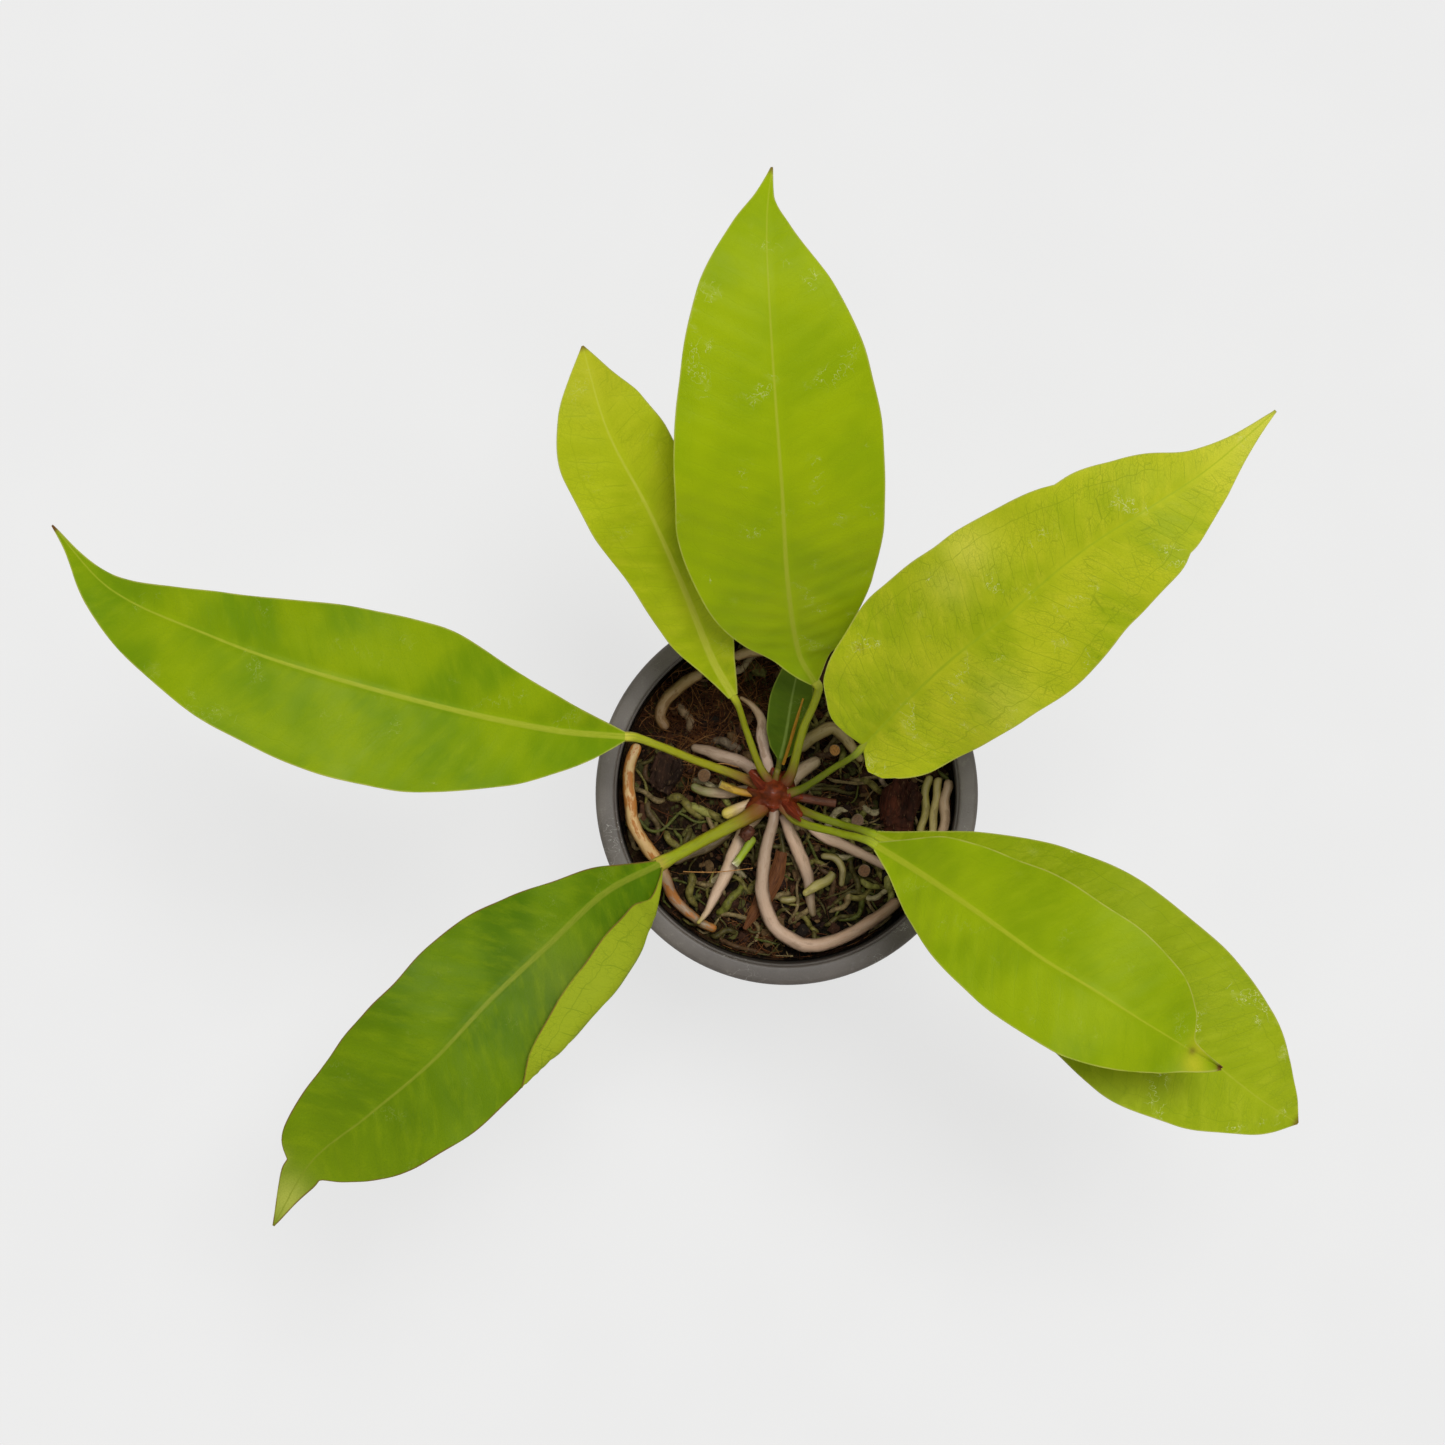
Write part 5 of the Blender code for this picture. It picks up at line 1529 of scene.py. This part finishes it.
def make_fibres():
    rng = random.Random(11)
    pile = Pile()
    for _ in range(FIBRE_COUNT):
        pick, k = rng.random(), 0
        while pick > FIBRE_CLUMPS[k][3] and k < len(FIBRE_CLUMPS) - 1:
            pick -= FIBRE_CLUMPS[k][3]
            k += 1
        clump_x, clump_y, reach, _ = FIBRE_CLUMPS[k]
        x, y = clump_x + rng.gauss(0, reach * 0.6), clump_y + rng.gauss(0, reach * 0.6)
        heading, bend = rng.uniform(0, 2 * math.pi), rng.gauss(0, 0.16)
        thick = rng.uniform(0.06, 0.17) * MM
        length = rng.uniform(7, 20)
        lift = rng.uniform(0.4, 3.6 if k < 4 else 2.0)
        points, steps = [], 10
        for step in range(steps):
            share = step / (steps - 1)
            px, py = inside(x, y, 1.2)
            arch = math.sin(math.pi * min(share * 1.1, 1))
            points.append(on_bed(px, py, 0.2 + lift * (0.3 + 0.7 * arch)))
            x += length / steps * math.cos(heading)
            y += length / steps * math.sin(heading)
            bend += rng.gauss(0, 0.08)
            heading += bend
        radii = [thick * (1.1 - 0.7 * s / (steps - 1)) for s in range(steps)]
        mesh = thin_tube(points, radii, 4)
        pile.add(*mesh, rng.choice(FIBRE_TINTS))
    material = tinted_material("coir_fibre", 1.5, 0.4, 0.75)
    pile.make("coir_fibres", material, ["coir_clump"], 80)


def lump(rng, centre, size, turn, rough=0.25, detail=2):
    """A broken block: a ball squared off, stretched to a size in mm and knocked uneven."""
    bm = bmesh.new()
    bmesh.ops.create_icosphere(bm, subdivisions=detail, radius=1)
    shift = rng.uniform(0, 50)
    spin = Matrix.Rotation(turn, 3, "Z") @ Matrix.Rotation(rng.uniform(-0.3, 0.3), 3, "X")
    for vert in bm.verts:
        square = Vector([math.copysign(abs(c) ** 0.6, c) for c in vert.co])
        uneven = 1 + rough * noise.fractal(vert.co * 1.3 + Vector((shift, 0, 0)), 1, 2, 3)
        vert.co = centre + spin @ Vector([c * s * uneven * MM / 2 for c, s in zip(square, size)])
    points = np.array([v.co for v in bm.verts])
    faces = [[v.index for v in f.verts] for f in bm.faces]
    bm.free()
    return points, faces


BIT_COUNT = 1500
BIT_SHAPES = ((1, 1.8), (0.6, 1), (0.35, 0.7))  # length, width and height as shares of the size
BIT_TINTS = [
    (0.04, 0.015, 0.007), (0.02, 0.008, 0.005), (0.075, 0.03, 0.012), (0.01, 0.006, 0.004),
    (0.13, 0.075, 0.03), (0.045, 0.045, 0.01), (0.09, 0.085, 0.02),
]


def make_bits():
    """Crumbs of bark and coir all over the bed."""
    rng = random.Random(5)
    pile = Pile()
    for k in range(BIT_COUNT):
        radius, a = (INNER_RADIUS / MM - 3) * math.sqrt(rng.random()), rng.uniform(0, 2 * math.pi)
        x, y = radius * math.cos(a), radius * math.sin(a)
        size = 0.7 + (3.2 if k > 45 else 6.5) * rng.random() ** 3
        stretch = tuple(size * rng.uniform(*span) for span in BIT_SHAPES)
        x, y = inside(x, y, 0.8 + max(stretch) / 2)
        centre = on_bed(x, y, rng.uniform(-0.2, 0.7))
        mesh = lump(rng, centre, stretch, rng.uniform(0, math.pi), 0.4, 2)
        pile.add(*mesh, rng.choice(BIT_TINTS))
    pile.make("bark_crumbs", tinted_material("bark_crumb", 1.2, 0.6, 0.8), (), 35)


CHIP_TINTS = {
    "chip_right": (0.05, 0.012, 0.005),
    "chip_back": (0.05, 0.02, 0.009),
    "chip_left": (0.03, 0.013, 0.007),
}
# The flakes a chip is made of: how far to the side, as a share of the width, and how light
FLAKES = ((0, 1), (-0.28, 0.6), (0.3, 1.5), (0.1, 0.8))


def make_chips():
    """Chunks of bark, each a stack of split flakes."""
    rng = random.Random(3)
    for name, (x, y, height, length, width, thickness, turn) in CHIPS.items():
        pile = Pile()
        centre = Vector((x * MM, y * MM, SOIL_TOP + height * MM))
        tint = np.array(CHIP_TINTS[name])
        way = math.radians(turn)
        along = Vector((math.cos(way), math.sin(way), 0))
        beside = Vector((-math.sin(way), math.cos(way), 0))
        for step, tone in FLAKES:
            off = beside * step * width + along * rng.uniform(-0.12, 0.12) * length
            wide = 1.05 if step == 0 else 0.6
            size = (length * (1 - abs(step)), width * wide, thickness * (1 + abs(step)))
            heading = way + rng.uniform(-0.1, 0.1)
            pile.add(*lump(rng, centre + off * MM, size, heading, 0.4, 5), tint * tone)
        material = tinted_material(f"{name}_bark", 1.6, 0.75, 0.8, 0.8, (1, 0.3, 1))
        pile.make(f"{name}_bark", material, [name], 50)


# Thin roots in the bed: x, y, way they run in degrees, length, bend in degrees, radius, tint.
OLIVE_ROOT, PALE_ROOT, PINK_ROOT = (0.17, 0.145, 0.035), (0.38, 0.32, 0.18), (0.34, 0.25, 0.17)
LIME_ROOT, DARK_ROOT = (0.26, 0.25, 0.06), (0.075, 0.062, 0.016)
MOSS_ROOT, BROWN_ROOT, TAN_ROOT = (0.09, 0.1, 0.018), (0.1, 0.055, 0.025), (0.22, 0.16, 0.07)
BED_ROOTS = [
    (-38, -2, 15, 16, -60, 1.6, OLIVE_ROOT), (-33, -6, 40, 15, -70, 1.5, LIME_ROOT),
    (-28, -4, -60, 12, 50, 1.3, OLIVE_ROOT), (-24, 2, -20, 11, -40, 1.4, LIME_ROOT),
    (-30, 4, -5, 13, 30, 1.2, PALE_ROOT), (-38, -12, -80, 13, 20, 1.3, OLIVE_ROOT),
    (-31, -10, -70, 12, -20, 1.1, DARK_ROOT), (-22, -9, -100, 10, 30, 1.0, OLIVE_ROOT),
    (-30, -25, -80, 13, 40, 1.5, OLIVE_ROOT), (-25, -29, 30, 16, -90, 1.2, PALE_ROOT),
    (-22, -38, 10, 14, 60, 1.5, ALGAE), (-12, -32, 60, 10, 40, 1.2, OLIVE_ROOT),
    (-6, -20, -80, 12, 20, 0.9, DARK_ROOT), (12, -12, 60, 12, -80, 1.3, PALE_ROOT),
    (17, -9, 10, 12, 50, 1.2, LIME_ROOT), (24, -4, -30, 11, 70, 1.1, PALE_ROOT),
    (22, 3, 20, 12, -60, 1.3, OLIVE_ROOT), (18, 8, 100, 9, 50, 1.2, LIME_ROOT),
    (27, 9, -40, 13, 30, 1.0, PINK_ROOT), (20, -14, -60, 12, -40, 1.0, OLIVE_ROOT),
    (14, -20, 10, 11, -30, 1.0, PALE_ROOT), (27, -18, -100, 12, 20, 1.2, OLIVE_ROOT),
    (21, -27, 5, 12, -20, 1.2, LIME_ROOT), (17, -33, 15, 14, 30, 1.1, OLIVE_ROOT),
    (24, -33, 0, 12, 20, 1.0, PALE_ROOT), (32, -26, -80, 10, -40, 1.3, LIME_ROOT),
    (30, -12, -20, 12, 60, 0.9, PALE_ROOT), (2, -38, -15, 12, -25, 1.0, OLIVE_ROOT),
    (12, -42, 12, 12, 0, 0.9, DARK_ROOT), (-2, 25, 70, 12, -30, 1.3, PINK_ROOT),
    (12, 28, 30, 13, -60, 1.4, (0.3, 0.2, 0.11)), (20, 26, -50, 12, 40, 1.3, (0.28, 0.2, 0.11)),
    (-20, 38, 20, 14, 20, 1.4, (0.33, 0.25, 0.15)), (-15, 44, 5, 16, -20, 1.3, (0.36, 0.27, 0.17)),
    (-38, 16, -30, 10, 30, 1.0, (0.14, 0.12, 0.04)),
    (-34, 29, -70, 12, -50, 1.6, (0.24, 0.16, 0.09)),
    (-14, 14, 170, 12, 40, 1.7, (0.15, 0.11, 0.07)), (36, 14, -60, 12, 30, 1.1, OLIVE_ROOT),
    (38, -20, -100, 12, -20, 1.4, PALE_ROOT), (-44, -2, -85, 14, -10, 1.2, (0.1, 0.07, 0.03)),
]
MORE_BED_ROOTS = 190
GREEN_BED_TINTS = [OLIVE_ROOT, TAN_ROOT, TAN_ROOT, BROWN_ROOT, DARK_ROOT, DARK_ROOT, MOSS_ROOT]


def make_bed_roots():
    rng = random.Random(23)
    roots = list(BED_ROOTS)
    for _ in range(MORE_BED_ROOTS):
        radius, a = 50 * math.sqrt(rng.random()), rng.uniform(0, 2 * math.pi)
        if math.pi * 0.4 < a < math.pi * 0.9 and rng.random() < 0.7:
            a += math.pi
        x, y = radius * math.cos(a), radius * math.sin(a)
        green = x > 0 or y < 0
        tints = GREEN_BED_TINTS if green else [DARK_ROOT, BROWN_ROOT]
        way, length, bend = rng.uniform(0, 360), rng.uniform(8, 24), rng.gauss(0, 110)
        radius = 0.3 + 0.85 * rng.random() ** 1.5
        roots.append((x, y, way, length, bend, radius, rng.choice(tints)))
    pile = Pile()
    for x, y, way, length, bend, radius, tint in roots:
        steps = 20
        heading = math.radians(way)
        points = []
        phase = rng.uniform(0, 6)
        for step in range(steps):
            share = step / (steps - 1)
            px, py = inside(x, y, 1.4 + radius)
            arch = (1.2 + radius) * math.sin(math.pi * share) ** 0.6
            arch += 0.3 * math.sin(9 * share + phase)
            points.append(on_bed(px, py, arch - 0.5 * radius))
            x += length / steps * math.cos(heading)
            y += length / steps * math.sin(heading)
            heading += math.radians(bend) / steps + 0.16 * math.sin(8 * share + phase)
        shares = np.linspace(0, 1, steps)
        ends = np.sqrt(np.clip(1 - np.abs(2 * shares - 1) ** 5, 0.02, 1))
        radii = radius * MM * (1 - 0.3 * shares) * ends * (1 + 0.08 * np.sin(21 * shares + phase))
        pile.add(*thin_tube(points, radii, 12), tint)
    pile.make("bed_roots", tinted_material("bed_root", 1.5, 0.6, 0.45, 0.25), (), 80)


def make_straws():
    """Dry straws lying over the roots."""
    routes = [
        [(-32.5, -24.5, 10.5), (-22, -24.6, 10.9), (-10.5, -23.4, 10.2)],
        [(-25, 8.6, 9.4), (-20, 9.4, 10.6), (-15, 8.2, 10.2)],
    ]
    pile = Pile()
    for route in routes:
        path = Path(route)
        points = path.point(np.linspace(0, 1, 20))
        pile.add(*thin_tube(points, np.linspace(0.2, 0.12, 20) * MM, 7), (0.42, 0.2, 0.06))
    pile.make("straws", tinted_material("straw", 1.0, 0.4, 0.6), (), 80)


# ---------------------------------------------------------------- pot


def fillet(corners, steps=4):
    """A profile through corners of (radius, height, rounding) in metres, rounded off."""
    line = []
    for k, (x, z, rounding) in enumerate(corners):
        here = Vector((x, z))
        if rounding == 0 or k in (0, len(corners) - 1):
            line.append(here)
            continue
        before = Vector(corners[k - 1][:2]) - here
        after = Vector(corners[k + 1][:2]) - here
        start = here + before.normalized() * min(rounding, before.length * 0.45)
        end = here + after.normalized() * min(rounding, after.length * 0.45)
        for step in range(steps + 1):
            t = step / steps
            line.append(start * (1 - t) ** 2 + here * 2 * t * (1 - t) + end * t**2)
    return line


POT_WALL = 1.3 * MM
POT_BASE_RADIUS = 42 * MM
SHOULDER_DROP = 22 * MM
POT_AROUND = 160
DRAIN_COUNT = 8
DRAIN_RADIUS = 3.5 * MM
DRAIN_RING = 29 * MM
DRAIN_TURN = 21  # degrees


def mesh_object(name, bm):
    """An object made of a bmesh, which is freed."""
    mesh = bpy.data.meshes.new(name)
    bm.to_mesh(mesh)
    bm.free()
    obj = bpy.data.objects.new(name, mesh)
    bpy.context.scene.collection.objects.link(obj)
    return obj


def pot_blank():
    """The pot's turned wall, without its drainage holes."""
    top, foot = POT_HEIGHT, POT_HEIGHT - SHOULDER_DROP
    wall, base = POT_WALL, POT_BASE_RADIUS
    edge = 0.8 * MM
    inside_rim = RIM_RADIUS - RIM_WIDTH
    collar = INNER_RADIUS + wall
    corners = [
        (0, wall, 0),
        (base - wall, wall, 1.5 * MM),
        (INNER_RADIUS - wall, foot - wall, 0.5 * MM),
        (INNER_RADIUS, foot, 0.5 * MM),
        (INNER_RADIUS, top - 2.5 * MM, 0.2 * MM),
        (inside_rim, top - 2.2 * MM, 0.3 * MM),
        (inside_rim, top, 0.9 * MM),
        (RIM_RADIUS, top, 1.7 * MM),
        (RIM_RADIUS - edge, top - 9 * MM, 0.5 * MM),
        (RIM_RADIUS - 2.2 * MM, top - 9 * MM, 0.3 * MM),
        (RIM_RADIUS - 2.2 * MM, top - 3 * MM, 0.3 * MM),
        (collar, top - 3 * MM, 0.3 * MM),
        (collar, foot - wall, 0.5 * MM),
        (collar - wall, foot - 2 * wall, 0.5 * MM),
        (base + 1.0 * MM, 9.5 * MM, 0.3 * MM),
        (base + 0.5 * MM, 9 * MM, 0.3 * MM),
        (base, 1.2 * MM, 1.0 * MM),
        (base - edge, 0, 0),
        (0, 0, 0),
    ]
    line = fillet(corners)
    bm = bmesh.new()
    verts = [bm.verts.new((p.x, 0, p.y)) for p in line]
    edges = [bm.edges.new(pair) for pair in zip(verts, verts[1:])]
    turned = {"cent": (0, 0, 0), "axis": (0, 0, 1), "angle": 2 * math.pi, "steps": POT_AROUND}
    bmesh.ops.spin(bm, geom=verts + edges, use_merge=True, **turned)
    bmesh.ops.remove_doubles(bm, verts=bm.verts, dist=TINY)
    bmesh.ops.recalc_face_normals(bm, faces=bm.faces)
    return mesh_object("pot_solid", bm)


def drain_pins():
    pins = bmesh.new()
    pin = {"segments": 40, "radius1": DRAIN_RADIUS, "radius2": DRAIN_RADIUS, "depth": 8 * MM}
    for k in range(DRAIN_COUNT):
        a = math.radians(DRAIN_TURN) + 2 * math.pi * k / DRAIN_COUNT
        place = Matrix.Translation((DRAIN_RING * math.cos(a), DRAIN_RING * math.sin(a), 0))
        bmesh.ops.create_cone(pins, cap_ends=True, matrix=place, **pin)
    return mesh_object("drain_pins", pins)


def make_pot():
    body, cutter = pot_blank(), drain_pins()
    cut = body.modifiers.new("drains", "BOOLEAN")
    cut.object = cutter
    cut.solver = "MANIFOLD"
    depsgraph = bpy.context.evaluated_depsgraph_get()
    done = bpy.data.meshes.new_from_object(body.evaluated_get(depsgraph))
    points = np.array([v.co for v in done.vertices])
    faces = [list(p.vertices) for p in done.polygons]
    bpy.data.objects.remove(body)
    bpy.data.objects.remove(cutter)
    piece("pot_body", points, faces, pot_material(), ["pot"], sharp=40)


# ---------------------------------------------------------------- studio


FLOOR_COLOUR = (0.14, 0.14, 0.14)
FLOOR_GLOW = 4.93
DOME_LIGHT = (0.62, 0.5)  # at the horizon and overhead
DOME_COLOUR = (1, 0.985, 0.96)
KEY_FROM = (0.18, 0.3, 1)
KEY_SPREAD = 24  # degrees
KEY_STRENGTH = 2.0
CAMERA_PLACE = (-0.0201, 0.0223, 1.31)  # metres, 1.2 m over the rim
CAMERA_LENS = 95.67  # mm, on film 36 mm wide


def make_studio():
    scene = bpy.context.scene
    scene.view_settings.view_transform = "Standard"
    bm = bmesh.new()
    bmesh.ops.create_grid(bm, x_segments=1, y_segments=1, size=4)
    mesh = bpy.data.meshes.new("floor")
    bm.to_mesh(mesh)
    bm.free()
    floor = bpy.data.objects.new("floor", mesh)
    g = Graph("pale_floor")
    tone = g.patches(g.place(), 60, 2, 0.3, 0.7)
    colour = g.mix(tone, FLOOR_COLOUR, tuple(0.99 * c for c in FLOOR_COLOUR))
    g.put(g.shader.inputs["Emission Color"], colour)
    g.shader.inputs["Emission Strength"].default_value = FLOOR_GLOW
    mesh.materials.append(g.finish(colour, 0.9, specular=0.0))
    scene.collection.objects.link(floor)
    floor.location.z = -0.2 * MM
    # A soft dome of light
    world = bpy.data.worlds.new("studio")
    scene.world = world
    world.use_nodes = True
    tree = world.node_tree
    background = tree.nodes["Background"]
    place = tree.nodes.new("ShaderNodeTexCoord")
    apart = tree.nodes.new("ShaderNodeSeparateXYZ")
    height = tree.nodes.new("ShaderNodeMapRange")
    tree.links.new(place.outputs["Generated"], apart.inputs[0])
    tree.links.new(apart.outputs["Z"], height.inputs["Value"])
    tree.links.new(height.outputs[0], background.inputs["Strength"])
    height.inputs["To Min"].default_value, height.inputs["To Max"].default_value = DOME_LIGHT
    background.inputs["Color"].default_value = (*DOME_COLOUR, 1)
    light = bpy.data.lights.new("key", "SUN")
    light.angle = math.radians(KEY_SPREAD)
    light.energy = KEY_STRENGTH
    lamp = bpy.data.objects.new("key", light)
    lamp.rotation_mode = "QUATERNION"
    lamp.rotation_quaternion = Vector(KEY_FROM).to_track_quat("Z", "Y")
    scene.collection.objects.link(lamp)


def make_camera():
    """Straight down on the plant, as in the photograph."""
    data = bpy.data.cameras.new("camera")
    data.sensor_width = 36
    data.lens = CAMERA_LENS
    data.clip_start = 0.05
    camera = bpy.data.objects.new("camera", data)
    camera.location = CAMERA_PLACE
    bpy.context.scene.collection.objects.link(camera)
    bpy.context.scene.camera = camera


make_blades()
make_petioles()
make_stubs()
make_shoot_bud()
make_roots()
make_cut_roots()
make_crown()
make_sheaths()
make_soil()
make_fibres()
make_bits()
make_chips()
make_bed_roots()
make_straws()
make_pot()
make_studio()
make_camera()
